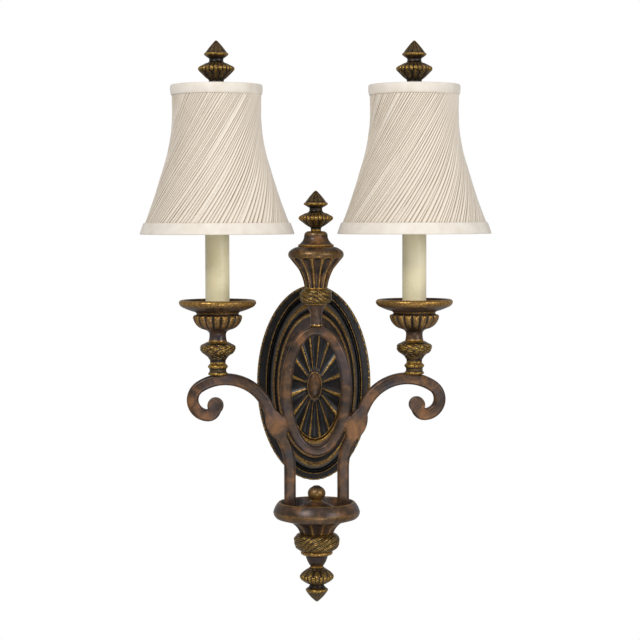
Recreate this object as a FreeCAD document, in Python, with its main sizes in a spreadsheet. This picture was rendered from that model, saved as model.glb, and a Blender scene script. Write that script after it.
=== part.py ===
import FreeCAD, Part
import math
import os
import Sketcher

# A double arm wall sconce. Millimetres, +Z up, +X to the right seen from the room and -Y
# towards the room. The origin is on the wall, behind the middle of the oval backplate.

SIZES = {
    # the layout: two lights on one plane in front of the wall
    "light_spacing": 196.0,
    "arm_reach": 100.0,
    # fits
    "rod_clearance": 0.15,
    "seat_clearance": 0.1,
    "turning_clearance": 0.3,
    # the scrolled arms, a flat bar with broken edges
    "bar_width": 11.4,
    "bar_depth": 12.0,
    "bar_chamfer": 1.8,
    "leg_spacing": 53.2,
    "leg_foot_level": -118.0,
    "leg_straight_level": -77.0,
    "leg_bend_radius": 60.0,
    "arch_radius": 46.5,
    "arch_offset": 7.2,
    "arch_level": 12.3,
    "curl_radius": 15.5,
    "curl_reach": 25.3,
    "curl_end_radius": 7.2,
    "eye_radius": 8.0,
    "eye_rise": 2.6,
    "web_length": 40.0,
    "web_width": 19.0,
    "web_level": -33.5,
    "arm_seat_depth": 0.8,
    "channel_width": 4.8,
    "channel_clearance": 0.3,
    # the oval ring between the arms
    "ring_to_bar": 9.8,
    "ring_height": 130.0,
    "ring_side_bar": 11.0,
    "ring_end_bar": 9.2,
    "ring_chamfer": 1.8,
    # the backplate, stepped ovals cast as one shell
    "plate_width": 119.0,
    "plate_height": 205.0,
    "plate_edge_depth": 7.0,
    "band_inset": 1.6,
    "band_depth": 9.5,
    "ridge_width": 99.0,
    "ridge_height": 189.0,
    "ridge_depth": 12.5,
    "cove_width": 92.0,
    "cove_height": 180.0,
    "cove_depth": 13.5,
    "torus_width": 86.0,
    "torus_height": 166.0,
    "torus_depth": 27.0,
    "rim_width": 75.0,
    "rim_height": 147.0,
    "rim_depth": 38.0,
    "plate_wall": 2.4,
    "corner_thickening": 1.2,
    "rosette_width": 56.0,
    "rosette_height": 113.0,
    "rosette_recess": 5.0,
    "rosette_thickness": 2.2,
    "rosette_edge_gap": 0.4,
    "rosette_crown": 2.4,
    "boss_width": 15.4,
    "boss_height": 29.0,
    "boss_edge": 1.4,
    "boss_shoulder": 1.5,
    "boss_crown": 3.4,
    "boss_crown_width": 7.7,
    "boss_crown_height": 17.4,
    "boss_stud_radius": 3.0,
    # wall bracket inside the backplate
    "bracket_width": 24.0,
    "bracket_thickness": 2.4,
    "bracket_clearance": 0.5,
    "box_screw_spacing": 88.9,
    "box_slot_length": 12.0,
    "box_slot_width": 4.8,
    "wire_hole_radius": 9.0,
    "edge_screw_radius": 2.0,
    "edge_screw_depth": 3.0,
    "ground_screw_radius": 2.4,
    "ground_screw_head_radius": 4.4,
    "ground_screw_head_height": 2.6,
    "ground_screw_offset": 27.0,
    "ground_wire_radius": 0.8,
    "ground_kink_x": 27.0,
    "ground_kink_depth": 7.0,
    "ground_bend_radius": 4.0,
    # threaded tube, nuts, spacers
    "tube_radius": 4.0,
    "tube_bore": 2.7,
    "nut_across_flats": 12.0,
    "nut_height": 4.0,
    "tube_past_nut": 0.6,
    "standoff_radius": 6.6,
    "standoff_pad_radius": 8.2,
    "pad_back_depth": 10.5,
    "tube_in_arm": 3.0,
    "lead_radius": 1.0,
    "lead_spread": 1.15,
    "lead_bend_radius": 3.0,
    "lead_back_depth": 2.2,
    "lead_kink_x": 30.0,
    "lead_kink_depth": 3.6,
    "lead_upper_level": -31.0,
    "lead_lower_level": -40.0,
    "wire_nut_radius": 6.0,
    "wire_nut_mouth_radius": 7.0,
    "wire_nut_length": 20.0,
    "wire_nut_wall": 1.2,
    "wire_nut_hollow": 12.0,
    "wire_nut_hollow_radius": 4.6,
    "wire_nut_skirt": 7.2,
    "wire_nut_tip_radius": 4.8,
    "wire_nut_spacing": 34.0,
    "wire_nut_level": -20.0,
    "live_nut_depth": 9.0,
    "neutral_nut_depth": 13.0,
    # rods of the middle ornaments
    "rod_radius": 2.5,
    "rod_in_ring": 6.0,
    "rod_in_finial": 12.0,
    "rod_in_ball": 6.0,
    # bottom cup
    "cup_rim_level": -111.0,
    "cup_opening_radius": 36.0,
    "cup_floor_radius": 33.0,
    "foot_bar_thickness": 4.0,
    "foot_bar_margin": 4.0,
    # candle
    "sleeve_radius": 12.0,
    "sleeve_wall": 1.2,
    "sleeve_length": 100.0,
    "dish_floor_height": 5.0,
    "dish_floor_radius": 26.0,
    "dish_flank_radius": 30.0,
    "dish_flank_height": 7.0,
    "socket_length": 48.0,
    "socket_radius": 10.2,
    "socket_foot_radius": 6.4,
    "socket_foot_height": 12.0,
    "socket_bore_radius": 6.4,
    "socket_bore_depth": 23.0,
    "tube_in_socket": 8.0,
    "bulb_base_radius": 6.0,
    "bulb_base_length": 22.0,
    "bulb_neck_gap": 0.4,
    # what holds the shade on the bulb
    "clip_wire_radius": 0.9,
    "clip_post_radius": 3.6,
    "clip_disc_radius": 9.0,
    "clip_disc_height": 1.6,
    "clip_tip_gap": 3.0,
    "clip_stud_radius": 3.1,
    "clip_stud_length": 12.0,
    "stud_end_gap": 0.4,
    "clip_shoulder_radius": 13.5,
    "clip_shoulder_drop": 8.0,
    "clip_straight": 24.0,
    "bulb_grip_gap": 0.3,
    # shade
    "shade_above_dish": 72.7,
    "shade_wall": 1.2,
    "ring_wire_radius": 1.2,
    "spider_hub_radius": 12.0,
    "spider_hub_thickness": 1.6,
    "spoke_in_hub": 2.4,
    "spider_drop": 1.0,
    "frame_gap": 0.1,
    "top_trim_height": 10.0,
    "bottom_trim_height": 11.0,
    "trim_thickness": 0.9,
    "trim_lap": 0.8,
    "washer_radius": 7.4,
    "washer_thickness": 1.2,
}

# Turned outlines. Each corner has its name, its radius, its height above the foot of the
# piece (or its drop below the top of a hanging piece) and how far the edge to the next
# corner bows: 0 is straight, 1 a half circle outwards, -1 a half circle inwards.
OUTLINES = {
    "center_stem": [
        ("foot", 5.9, 0.0, 0), ("neck", 5.9, 11.0, -0.12), ("top", 10.7, 22.4, 0),
    ],
    "top_wreath": [
        ("foot", 12.0, 0.0, 0.45), ("belly", 16.4, 7.3, 0.45), ("top", 12.0, 14.6, 0),
    ],
    "center_vase": [
        ("foot", 11.2, 0.0, -0.1), ("flare", 17.6, 20.0, 0), ("lip", 27.2, 32.0, 0.45),
        ("shoulder", 25.4, 38.5, 0), ("top", 18.6, 42.0, 0),
    ],
    "vase_cap": [
        ("foot", 17.2, 0.0, 0.6), ("bead", 17.0, 2.2, -0.2), ("waist", 11.6, 9.0, 0),
        ("rim", 11.4, 12.5, 0.3), ("top", 7.0, 15.5, 0),
    ],
    "top_finial": [
        ("neck", 5.2, 0.0, 0), ("throat", 5.2, 3.5, 0), ("knop_foot", 11.0, 6.5, 0),
        ("knop", 16.6, 11.5, 0.5), ("knop_crown", 15.8, 15.0, 0),
        ("knop_top", 10.5, 18.0, -0.3), ("waist", 6.4, 20.5, 0), ("waist_top", 6.4, 23.0, 0),
        ("ring", 11.4, 26.0, 0.8), ("cone", 10.6, 28.4, 0.05), ("tip", 0.8, 40.3, 0),
    ],
    "bottom_cup": [
        ("rim", 38.0, 0.0, 0.15), ("band", 43.6, 10.0, 0.2), ("band_edge", 39.4, 16.6, 0),
        ("flute_top", 33.0, 18.4, -0.32), ("foot", 17.2, 32.0, 0),
    ],
    "bottom_wreath": [
        ("top", 17.2, 0.0, 0.4), ("belly", 23.6, 8.5, 0.35), ("foot", 15.6, 17.5, 0),
    ],
    "bottom_reel": [
        ("top", 15.2, 0.0, 0.5), ("ring", 15.2, 3.6, 0), ("step", 11.6, 5.0, 0),
        ("cup", 10.6, 7.0, 0.1), ("foot", 6.3, 15.5, 0),
    ],
    "bottom_finial": [
        ("neck", 6.3, 0.0, 0), ("knop_crown", 12.2, 4.6, 0.1), ("knop", 16.6, 9.0, 0.4),
        ("knop_foot", 15.0, 14.0, 0.1), ("throat_top", 7.0, 18.4, -0.2),
        ("ring_top", 10.4, 22.6, 0.6), ("ring", 10.8, 25.0, 0.1), ("tip", 0.8, 36.0, 0),
    ],
    "cup_lid": [
        ("foot", 18.0, 0.0, 0.5), ("edge", 17.6, 2.6, 0), ("step", 14.4, 3.8, -0.15),
        ("neck", 5.2, 9.0, 0),
    ],
    "lid_ball": [
        ("foot", 4.6, 0.0, 0.7), ("crown", 4.4, 12.8, 0.35), ("top", 1.0, 14.0, 0),
    ],
    "column_collar": [
        ("foot", 9.4, 0.0, 0.5), ("foot_top", 9.4, 2.0, 0), ("waist", 8.5, 3.0, 0),
        ("waist_top", 8.5, 6.0, 0), ("bead", 9.4, 7.0, 0.5), ("bead_top", 9.4, 9.6, 0),
        ("top", 8.0, 11.0, 0),
    ],
    "column_knop": [
        ("foot", 7.8, 0.0, 0), ("neck", 7.8, 3.6, -0.15), ("belly_foot", 15.4, 10.4, 0.2),
        ("belly", 18.0, 15.6, 0.4), ("shoulder", 14.6, 20.0, 0), ("top", 10.4, 22.0, 0),
    ],
    "candle_cup": [
        ("foot", 10.4, 0.0, -0.35), ("neck", 9.8, 9.5, -0.2), ("cup_foot", 13.0, 12.0, 0.3),
        ("lip", 24.5, 24.0, 0.5), ("lip_top", 23.6, 26.6, 0), ("collar", 22.0, 27.2, 0),
        ("top", 22.0, 29.4, 0),
    ],
    "bobeche": [
        ("foot", 21.0, 0.0, 0.1), ("lip_foot", 35.6, 5.6, 0), ("lip", 38.2, 8.6, 0.5),
        ("lip_crown", 36.4, 12.4, 0.4), ("lip_inside", 33.8, 11.4, -0.2),
    ],
    "bulb": [
        ("neck", 6.6, 0.0, 0), ("throat", 8.0, 3.0, -0.1), ("belly_foot", 14.6, 17.0, 0.1),
        ("belly", 17.4, 31.0, 0.14), ("crown", 11.0, 58.0, -0.05), ("tip", 1.2, 78.0, 0),
    ],
    "shade_cover": [
        ("hem", 76.0, 0.0, -0.03), ("skirt", 54.0, 63.0, -0.09), ("waist", 44.0, 123.0, 0),
        ("top", 44.6, 146.8, 0),
    ],
    "finial": [
        ("foot", 8.0, 0.0, 0), ("throat", 8.0, 4.0, 0), ("knop_foot", 11.0, 7.0, 0),
        ("knop", 17.2, 11.8, 0.5), ("knop_crown", 16.2, 17.0, 0),
        ("knop_top", 10.0, 21.0, -0.3), ("waist", 7.0, 22.8, 0), ("waist_top", 7.0, 25.2, 0),
        ("ring", 11.5, 28.6, 0.8), ("cone", 10.8, 31.0, 0.05), ("tip", 0.8, 43.2, 0),
    ],
}

# Counts, and the angle of the spider's first arm in degrees
SPIDER_ARMS = 3
SPIDER_TURN = 30
CLIP_LEGS = 4
NUT_SIDES = 6

doc = FreeCAD.newDocument("DoubleArmSconce")
sheet = doc.addObject("Spreadsheet::Sheet", "Sizes")
values = dict(SIZES)
for piece, corners in OUTLINES.items():
    for corner, radius, height, _bow in corners:
        values[f"{piece}_{corner}_radius"] = radius
        values[f"{piece}_{corner}_height"] = height
for row, (alias, value) in enumerate(values.items(), start=1):
    sheet.set(f"A{row}", alias)
    sheet.set(f"B{row}", str(value))
    sheet.setAlias(f"B{row}", alias)
doc.recompute()


class Size:
    """A size and the expression that gives it from the sheet."""

    def __init__(self, value, text):
        self.value = value
        self.text = text

    def __add__(self, other):
        other = as_size(other)
        return Size(self.value + other.value, f"({self.text} + {other.text})")

    def __sub__(self, other):
        other = as_size(other)
        return Size(self.value - other.value, f"({self.text} - {other.text})")

    def __mul__(self, other):
        other = as_size(other)
        return Size(self.value * other.value, f"({self.text} * {other.text})")

    def __truediv__(self, other):
        other = as_size(other)
        return Size(self.value / other.value, f"({self.text} / {other.text})")

    def __neg__(self):
        return Size(-self.value, f"(0 - {self.text})")

    __radd__ = __add__
    __rmul__ = __mul__


def as_size(number):
    return number if isinstance(number, Size) else Size(float(number), repr(float(number)))


def size(alias):
    return Size(float(sheet.get(alias)), f"Sizes.{alias}")


def root(number):
    return Size(math.sqrt(number.value), f"sqrt({number.text})")


def bind(thing, path, number):
    """Ties one property of a feature to the sheet."""
    number = as_size(number)
    if path in thing.PropertiesList:
        setattr(thing, path, number.value)
    thing.setExpression(path, number.text)


def place(thing, x=0, y=0, z=0, rotation=None):
    """Stands a piece at a point, each coordinate tied to the sheet."""
    spots = [as_size(x), as_size(y), as_size(z)]
    turn = rotation or FreeCAD.Rotation()
    base = FreeCAD.Vector(*[spot.value for spot in spots])
    thing.Placement = FreeCAD.Placement(base, turn)
    for axis, spot in zip("xyz", spots):
        if spot.text != "0.0":
            thing.setExpression(f"Placement.Base.{axis}", spot.text)


def arc_radius(start, end, bow):
    """The radius of the arc over a chord that bows by a share of half the chord."""
    dx = end[0] - start[0]
    dy = end[1] - start[1]
    half_chord = root(dx * dx + dy * dy) / 2
    return half_chord * ((1 + bow * bow) / (2 * abs(bow)))


def arc_middle(start, end, bow):
    """The middle of that arc, on the right of the way from start to end when bow is above 0."""
    dx = end.x - start.x
    dy = end.y - start.y
    middle = (start + end) * 0.5
    return middle + FreeCAD.Vector(dy, -dx, 0) * (0.5 * bow)


def flat_arc(start, middle, end):
    """An anticlockwise arc through three points, and whether it runs from start to end."""
    circle = Part.Circle(start, middle, end)
    center = circle.Center
    forward = (middle - start).cross(end - middle).z > 0
    first, last = (start, end) if forward else (end, start)
    first_angle = math.atan2(first.y - center.y, first.x - center.x)
    last_angle = math.atan2(last.y - center.y, last.x - center.x)
    if last_angle < first_angle:
        last_angle += 2 * math.pi
    whole = Part.Circle(center, FreeCAD.Vector(0, 0, 1), circle.Radius)
    return Part.ArcOfCircle(whole, first_angle, last_angle), forward


def sketch_on(body, name, role, offset=None):
    """A sketch on one of the body's own planes, pushed along its normal by an offset."""
    plane = next(p for p in body.Origin.OriginFeatures if p.Role == role)
    sketch = body.newObject("Sketcher::SketchObject", name)
    sketch.AttachmentSupport = [(plane, "")]
    sketch.MapMode = "FlatFace"
    if offset is not None:
        bind(sketch, "AttachmentOffset.Base.z", offset)
    return sketch


def add_outline(sketch, corners):
    """A closed outline whose corners, (x, y, bow of the next edge), are pinned to the sheet."""
    spots = [FreeCAD.Vector(as_size(c[0]).value, as_size(c[1]).value, 0) for c in corners]
    ends = []
    arcs = []
    for index, spot in enumerate(spots):
        following = spots[(index + 1) % len(spots)]
        bow = corners[index][2] if len(corners[index]) > 2 else 0
        if not bow:
            geometry = sketch.addGeometry(Part.LineSegment(spot, following))
            ends.append((geometry, 1, 2))
            continue
        arc, forward = flat_arc(spot, arc_middle(spot, following, bow), following)
        geometry = sketch.addGeometry(arc)
        ends.append((geometry, 1, 2) if forward else (geometry, 2, 1))
        arcs.append((geometry, index, bow))
    constraints = []
    expressions = []
    for index, (geometry, begin, finish) in enumerate(ends):
        following = ends[(index + 1) % len(ends)]
        constraints.append(
            Sketcher.Constraint("Coincident", geometry, finish, following[0], following[1])
        )
        for kind, axis, spot in (("DistanceX", -2, 0), ("DistanceY", -1, 1)):
            number = as_size(corners[index][spot])
            if abs(number.value) < 1e-9:
                constraints.append(Sketcher.Constraint("PointOnObject", geometry, begin, axis))
                continue
            expressions.append((len(constraints), number.text))
            constraints.append(
                Sketcher.Constraint(kind, -1, 1, geometry, begin, number.value)
            )
    for geometry, index, bow in arcs:
        start = [as_size(corners[index][k]) for k in (0, 1)]
        end = [as_size(corners[(index + 1) % len(corners)][k]) for k in (0, 1)]
        radius = arc_radius(start, end, bow)
        expressions.append((len(constraints), radius.text))
        constraints.append(Sketcher.Constraint("Radius", geometry, radius.value))
    sketch.addConstraint(constraints)
    for index, text in expressions:
        sketch.setExpression(f"Constraints[{index}]", text)
    return sketch


def new_body(label):
    body = doc.addObject("PartDesign::Body", "Body_" + label)
    body.Label = label
    return body


def revolve(body, corners, name="Profile"):
    """Turns an outline, (radius, height, bow), about the body's own Z axis."""
    sketch = add_outline(sketch_on(body, name, "XZ_Plane"), corners)
    turning = body.newObject("PartDesign::Revolution", "Turning")
    turning.Profile = sketch
    turning.ReferenceAxis = (sketch, ["V_Axis"])
    turning.Angle = 360
    return turning


def piece_height(piece):
    """How tall a turned piece is, from its foot to its last corner."""
    return size(f"{piece}_{OUTLINES[piece][-1][0]}_height")


def outer_corners(piece, direction=1):
    """The outside of a turned piece, from the sheet; direction -1 hangs it from its top."""
    corners = []
    for corner, _radius, _height, bow in OUTLINES[piece]:
        radius = size(f"{piece}_{corner}_radius")
        height = size(f"{piece}_{corner}_height")
        corners.append((radius, height if direction > 0 else -height, bow * direction))
    return corners


def turned(label, piece, x, y, z, bore, direction=1, inside=None):
    """A turned piece with a bore right through, or with the inside corners that are given."""
    body = new_body(label)
    corners = outer_corners(piece, direction)
    last = corners[-1][1]
    inner = inside or [(bore, last, 0), (bore, as_size(0), 0)]
    revolve(body, corners + inner)
    place(body, x, y, z)
    return body


def blind_bore(bore, top, depth):
    """Inside corners of a piece with a solid nose: a bore up to a depth from its foot."""
    return [(as_size(0), top, 0), (as_size(0), depth, 0), (bore, depth, 0), (bore, as_size(0), 0)]


def tube(label, outer, inner, length, x, y, z, rotation=None):
    """A plain tube or, with no inner radius, a rod, that starts at a point."""
    rod = doc.addObject("Part::Cylinder", "Rod_" + label)
    bind(rod, "Radius", outer)
    bind(rod, "Height", length)
    place(rod, x, y, z, rotation)
    if inner is None:
        rod.Label = label
        return rod
    hole = doc.addObject("Part::Cylinder", "Bore_" + label)
    bind(hole, "Radius", inner)
    bind(hole, "Height", length)
    place(hole, x, y, z, rotation)
    return cut(label, rod, [hole])


def join(label, shapes):
    """One node of several shapes that touch, fused."""
    fuse = doc.addObject("Part::MultiFuse", "Join_" + label)
    fuse.Shapes = shapes
    fuse.Refine = True
    fuse.Label = label
    return fuse


def group(label, shapes):
    """One node that holds separate solids, as with identical fasteners."""
    bundle = doc.addObject("Part::Compound", "Group_" + label)
    bundle.Links = shapes
    bundle.Label = label
    return bundle


def cut(label, base, tools):
    result = base
    for tool in tools:
        step = doc.addObject("Part::Cut", "Cut_" + label)
        step.Base = result
        step.Tool = tool
        result = step
    result.Label = label
    return result


def nut(label, x, y, z, rotation=None):
    """A hexagon lock nut on the threaded tube."""
    block = doc.addObject("Part::Prism", "Hex_" + label)
    block.Polygon = NUT_SIDES
    bind(block, "Circumradius", size("nut_across_flats") / math.sqrt(3))
    bind(block, "Height", size("nut_height"))
    place(block, x, y, z, rotation)
    hole = doc.addObject("Part::Cylinder", "Thread_" + label)
    bind(hole, "Radius", size("tube_radius") + size("rod_clearance"))
    bind(hole, "Height", size("nut_height"))
    place(hole, x, y, z, rotation)
    return cut(label, block, [hole])


# Directions
TO_ROOM = FreeCAD.Rotation(FreeCAD.Vector(1, 0, 0), 90)
# an oval drawn flat, turned so that its long axis stands up and its face looks at the room
UPRIGHT = FreeCAD.Rotation(FreeCAD.Vector(1, 1, 1), 240)


def oval(name, width, height, depth):
    """An upright oval line in front of the wall."""
    line = doc.addObject("Part::Ellipse", name)
    bind(line, "MajorRadius", height / 2)
    bind(line, "MinorRadius", width / 2)
    place(line, 0, -depth, 0, UPRIGHT)
    return line


def oval_block(name, width, height, back, thickness):
    """A solid oval from a depth in front of the wall, towards the room."""
    block = doc.addObject("Part::Extrusion", name)
    block.Base = oval(name + "_line", width, height, back)
    block.DirMode = "Custom"
    block.Dir = FreeCAD.Vector(0, -1, 0)
    bind(block, "LengthFwd", thickness)
    block.Solid = True
    return block


def oval_stack(name, steps):
    """A solid through upright ovals, each (width, height, depth from the wall)."""
    stack = doc.addObject("Part::Loft", name)
    stack.Sections = [oval(f"{name}_{k}", *step) for k, step in enumerate(steps)]
    stack.Solid = True
    stack.Ruled = True
    return stack


# Places that several pieces share
light_x = size("light_spacing") / 2
arm_y = -size("arm_reach")
arch_x = light_x - size("arch_offset")
half_bar = size("bar_width") / 2
half_depth = size("bar_depth") / 2
arm_back = size("arm_reach") - half_depth
leg_x = size("leg_spacing") / 2
# the top of the arch under the light, which gets a flat seat
arch_outer = size("arch_radius") + half_bar
arch_center_level = size("arch_level") - size("arch_radius")
seat_level = (
    arch_center_level
    + root(arch_outer * arch_outer - size("arch_offset") * size("arch_offset"))
    - size("arm_seat_depth")
)
tube_fit = size("tube_radius") + size("rod_clearance")
rod_fit = size("rod_radius") + size("rod_clearance")
ring_top = size("ring_height") / 2


def arm_path(side):
    """Corner points of the bar's centre line, from the foot up the leg, over the arch and
    round the curl, worked out from tangent circles."""
    bend = (leg_x.value + size("leg_bend_radius").value, size("leg_straight_level").value)
    arch = (arch_x.value, arch_center_level.value)
    dx = arch[0] - bend[0]
    dz = arch[1] - bend[1]
    spread = size("leg_bend_radius").value - size("arch_radius").value
    lean = math.atan2(dz, dx) - math.asin(spread / math.hypot(dx, dz))
    across = (-math.sin(lean), math.cos(lean))
    curl_x = light_x.value + size("curl_reach").value - size("curl_radius").value
    drop = math.acos((curl_x - arch[0]) / (size("arch_radius").value - size("curl_radius").value))
    curl_z = arch[1] + (size("arch_radius").value - size("curl_radius").value) * math.sin(drop)
    end_z = curl_z - size("curl_radius").value + size("curl_end_radius").value

    def at(x, z):
        return FreeCAD.Vector(side * x, z, 0)

    return {
        "foot": at(leg_x.value, size("leg_foot_level").value),
        "straight": at(leg_x.value, bend[1]),
        "bend_center": at(*bend),
        "lean_start": at(
            bend[0] + across[0] * size("leg_bend_radius").value,
            bend[1] + across[1] * size("leg_bend_radius").value,
        ),
        "lean_end": at(
            arch[0] + across[0] * size("arch_radius").value,
            arch[1] + across[1] * size("arch_radius").value,
        ),
        "arch_center": at(*arch),
        "arch_end": at(
            arch[0] + math.cos(drop) * size("arch_radius").value,
            arch[1] + math.sin(drop) * size("arch_radius").value,
        ),
        "curl_center": at(curl_x, curl_z),
        "curl_bottom": at(curl_x, curl_z - size("curl_radius").value),
        "end_center": at(curl_x, end_z),
        "end": at(curl_x - size("curl_end_radius").value, end_z),
        "lean": lean,
    }


def arc_between(center, start, end, side):
    """The arc about a center that turns clockwise on the right arm and the other way on the left."""
    first = math.atan2(start.y - center.y, start.x - center.x)
    last = math.atan2(end.y - center.y, end.x - center.x)
    radius = start.distanceToPoint(center)
    if side > 0:
        first, last = last, first
    while last < first:
        last += 2 * math.pi
    circle = Part.Circle(center, FreeCAD.Vector(0, 0, 1), radius)
    return Part.ArcOfCircle(circle, first, last)


def add_arm_line(sketch, side):
    """Draws the bar's centre line with tangent joints, its radii and places tied to the sheet."""
    p = arm_path(side)
    leg = sketch.addGeometry(Part.LineSegment(p["foot"], p["straight"]))
    bend = sketch.addGeometry(arc_between(p["bend_center"], p["straight"], p["lean_start"], side))
    lean = sketch.addGeometry(Part.LineSegment(p["lean_start"], p["lean_end"]))
    arch = sketch.addGeometry(arc_between(p["arch_center"], p["lean_end"], p["arch_end"], side))
    curl = sketch.addGeometry(arc_between(p["curl_center"], p["arch_end"], p["curl_bottom"], side))
    tail = sketch.addGeometry(arc_between(p["end_center"], p["curl_bottom"], p["end"], side))
    # an arc runs anticlockwise, so on the right arm each one ends where the line starts it
    first, last = (2, 1) if side > 0 else (1, 2)
    constraints = [
        Sketcher.Constraint("Vertical", leg),
        Sketcher.Constraint("Tangent", leg, 2, bend, first),
        Sketcher.Constraint("Tangent", bend, last, lean, 1),
        Sketcher.Constraint("Tangent", lean, 2, arch, first),
        Sketcher.Constraint("Tangent", arch, last, curl, first),
        Sketcher.Constraint("Tangent", curl, last, tail, first),
        Sketcher.Constraint("Vertical", curl, 3, curl, last),
        Sketcher.Constraint("Horizontal", tail, 3, tail, last),
    ]
    sketch.addConstraint(constraints)
    curl_x = light_x + size("curl_reach") - size("curl_radius")
    dimensions = [
        ("DistanceX", leg, 1, leg_x * side),
        ("DistanceY", leg, 1, size("leg_foot_level")),
        ("DistanceY", leg, 2, size("leg_straight_level")),
        ("DistanceX", arch, 3, arch_x * side),
        ("DistanceY", arch, 3, arch_center_level),
        ("DistanceX", curl, 3, curl_x * side),
    ]
    for kind, geometry, spot, number in dimensions:
        index = sketch.addConstraint(
            Sketcher.Constraint(kind, -1, 1, geometry, spot, number.value)
        )
        sketch.setExpression(f"Constraints[{index}]", number.text)
    radii = [
        (bend, size("leg_bend_radius")),
        (arch, size("arch_radius")),
        (curl, size("curl_radius")),
        (tail, size("curl_end_radius")),
    ]
    for geometry, number in radii:
        index = sketch.addConstraint(Sketcher.Constraint("Radius", geometry, number.value))
        sketch.setExpression(f"Constraints[{index}]", number.text)


def bar_corners(x, width, depth, chamfer):
    """A bar's section with broken corners, about a centre."""
    w = width / 2
    d = depth / 2
    return [
        (x - w + chamfer, -d), (x + w - chamfer, -d), (x + w, -d + chamfer),
        (x + w, d - chamfer), (x + w - chamfer, d), (x - w + chamfer, d),
        (x - w, d - chamfer), (x - w, -d + chamfer),
    ]


def junction(side):
    """Where the leaning stretch of the bar crosses the level of the junction."""
    p = arm_path(side)
    share = (size("web_level").value - p["lean_start"].y) / (p["lean_end"].y - p["lean_start"].y)
    return p["lean_start"] + (p["lean_end"] - p["lean_start"]) * share


# the ring is as wide as lets its sides run into the two bars at the level of the junction
level_share = size("web_level") / ring_top
ring_width = (
    (as_size(junction(1).x) - size("ring_to_bar")) * 2 / root(as_size(1) - level_share * level_share)
)


# the bead at the collar's foot bows out by a quarter of its height
collar_reach = size("column_collar_foot_radius") + size("column_collar_foot_top_height") / 4


def build_arm(prefix, side):
    label = prefix + "_arm"
    body = new_body(label + "_bar")
    section = sketch_on(body, "Section", "XY_Plane", size("leg_foot_level"))
    add_outline(
        section,
        bar_corners(leg_x * side, size("bar_width"), size("bar_depth"), size("bar_chamfer")),
    )
    line = sketch_on(body, "CentreLine", "XZ_Plane")
    add_arm_line(line, side)
    bar = body.newObject("PartDesign::AdditivePipe", "Bar")
    bar.Profile = section
    bar.Spine = (line, [])
    doc.recompute()
    p = arm_path(side)
    # the rolled eye that ends the curl
    eye = sketch_on(body, "Eye", "XZ_Plane")
    spot = FreeCAD.Vector(p["end"].x, p["end"].y + size("eye_rise").value, 0)
    circle = eye.addGeometry(
        Part.Circle(spot, FreeCAD.Vector(0, 0, 1), size("eye_radius").value)
    )
    eye.addConstraint(Sketcher.Constraint("Radius", circle, size("eye_radius").value))
    eye.setExpression("Constraints[0]", size("eye_radius").text)
    pad = body.newObject("PartDesign::Pad", "EyePad")
    pad.Profile = eye
    pad.Midplane = True
    bind(pad, "Length", size("bar_depth"))
    # the web where arm, leg and ring run together, a lens along the bar
    web = sketch_on(body, "Web", "XZ_Plane")
    middle = junction(side)
    along = FreeCAD.Vector(side * math.cos(p["lean"]), math.sin(p["lean"]), 0)
    along = along * (size("web_length").value / 2)
    bow = size("web_width").value / size("web_length").value
    start = middle - along
    end = middle + along
    web.addGeometry(flat_arc(start, arc_middle(start, end, bow), end)[0])
    web.addGeometry(flat_arc(end, arc_middle(end, start, bow), start)[0])
    fill = body.newObject("PartDesign::Pad", "WebPad")
    fill.Profile = web
    fill.Midplane = True
    bind(fill, "Length", size("bar_depth"))
    place(body, 0, arm_y, 0)
    doc.recompute()

    room = oval_block(label + "_ring_room", ring_width, size("ring_height"),
                      arm_back - size("bar_depth"), size("bar_depth") * 3)
    seat = doc.addObject("Part::Cylinder", "Seat_" + label)
    bind(seat, "Radius", collar_reach + size("turning_clearance"))
    bind(seat, "Height", size("bar_width"))
    place(seat, light_x * side, arm_y, seat_level)
    thread = doc.addObject("Part::Cylinder", "Thread_" + label)
    bind(thread, "Radius", tube_fit)
    bind(thread, "Height", size("bar_width"))
    place(thread, light_x * side, arm_y, seat_level - size("tube_in_arm"))
    socket = doc.addObject("Part::Cylinder", "Socket_" + label)
    bind(socket, "Radius", tube_fit)
    bind(socket, "Height", size("tube_in_arm"))
    place(socket, middle.x, -arm_back, middle.y, TO_ROOM)
    channel = build_channel(label, side)
    return cut(label, body, [room, seat, thread, socket, channel])


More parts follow.
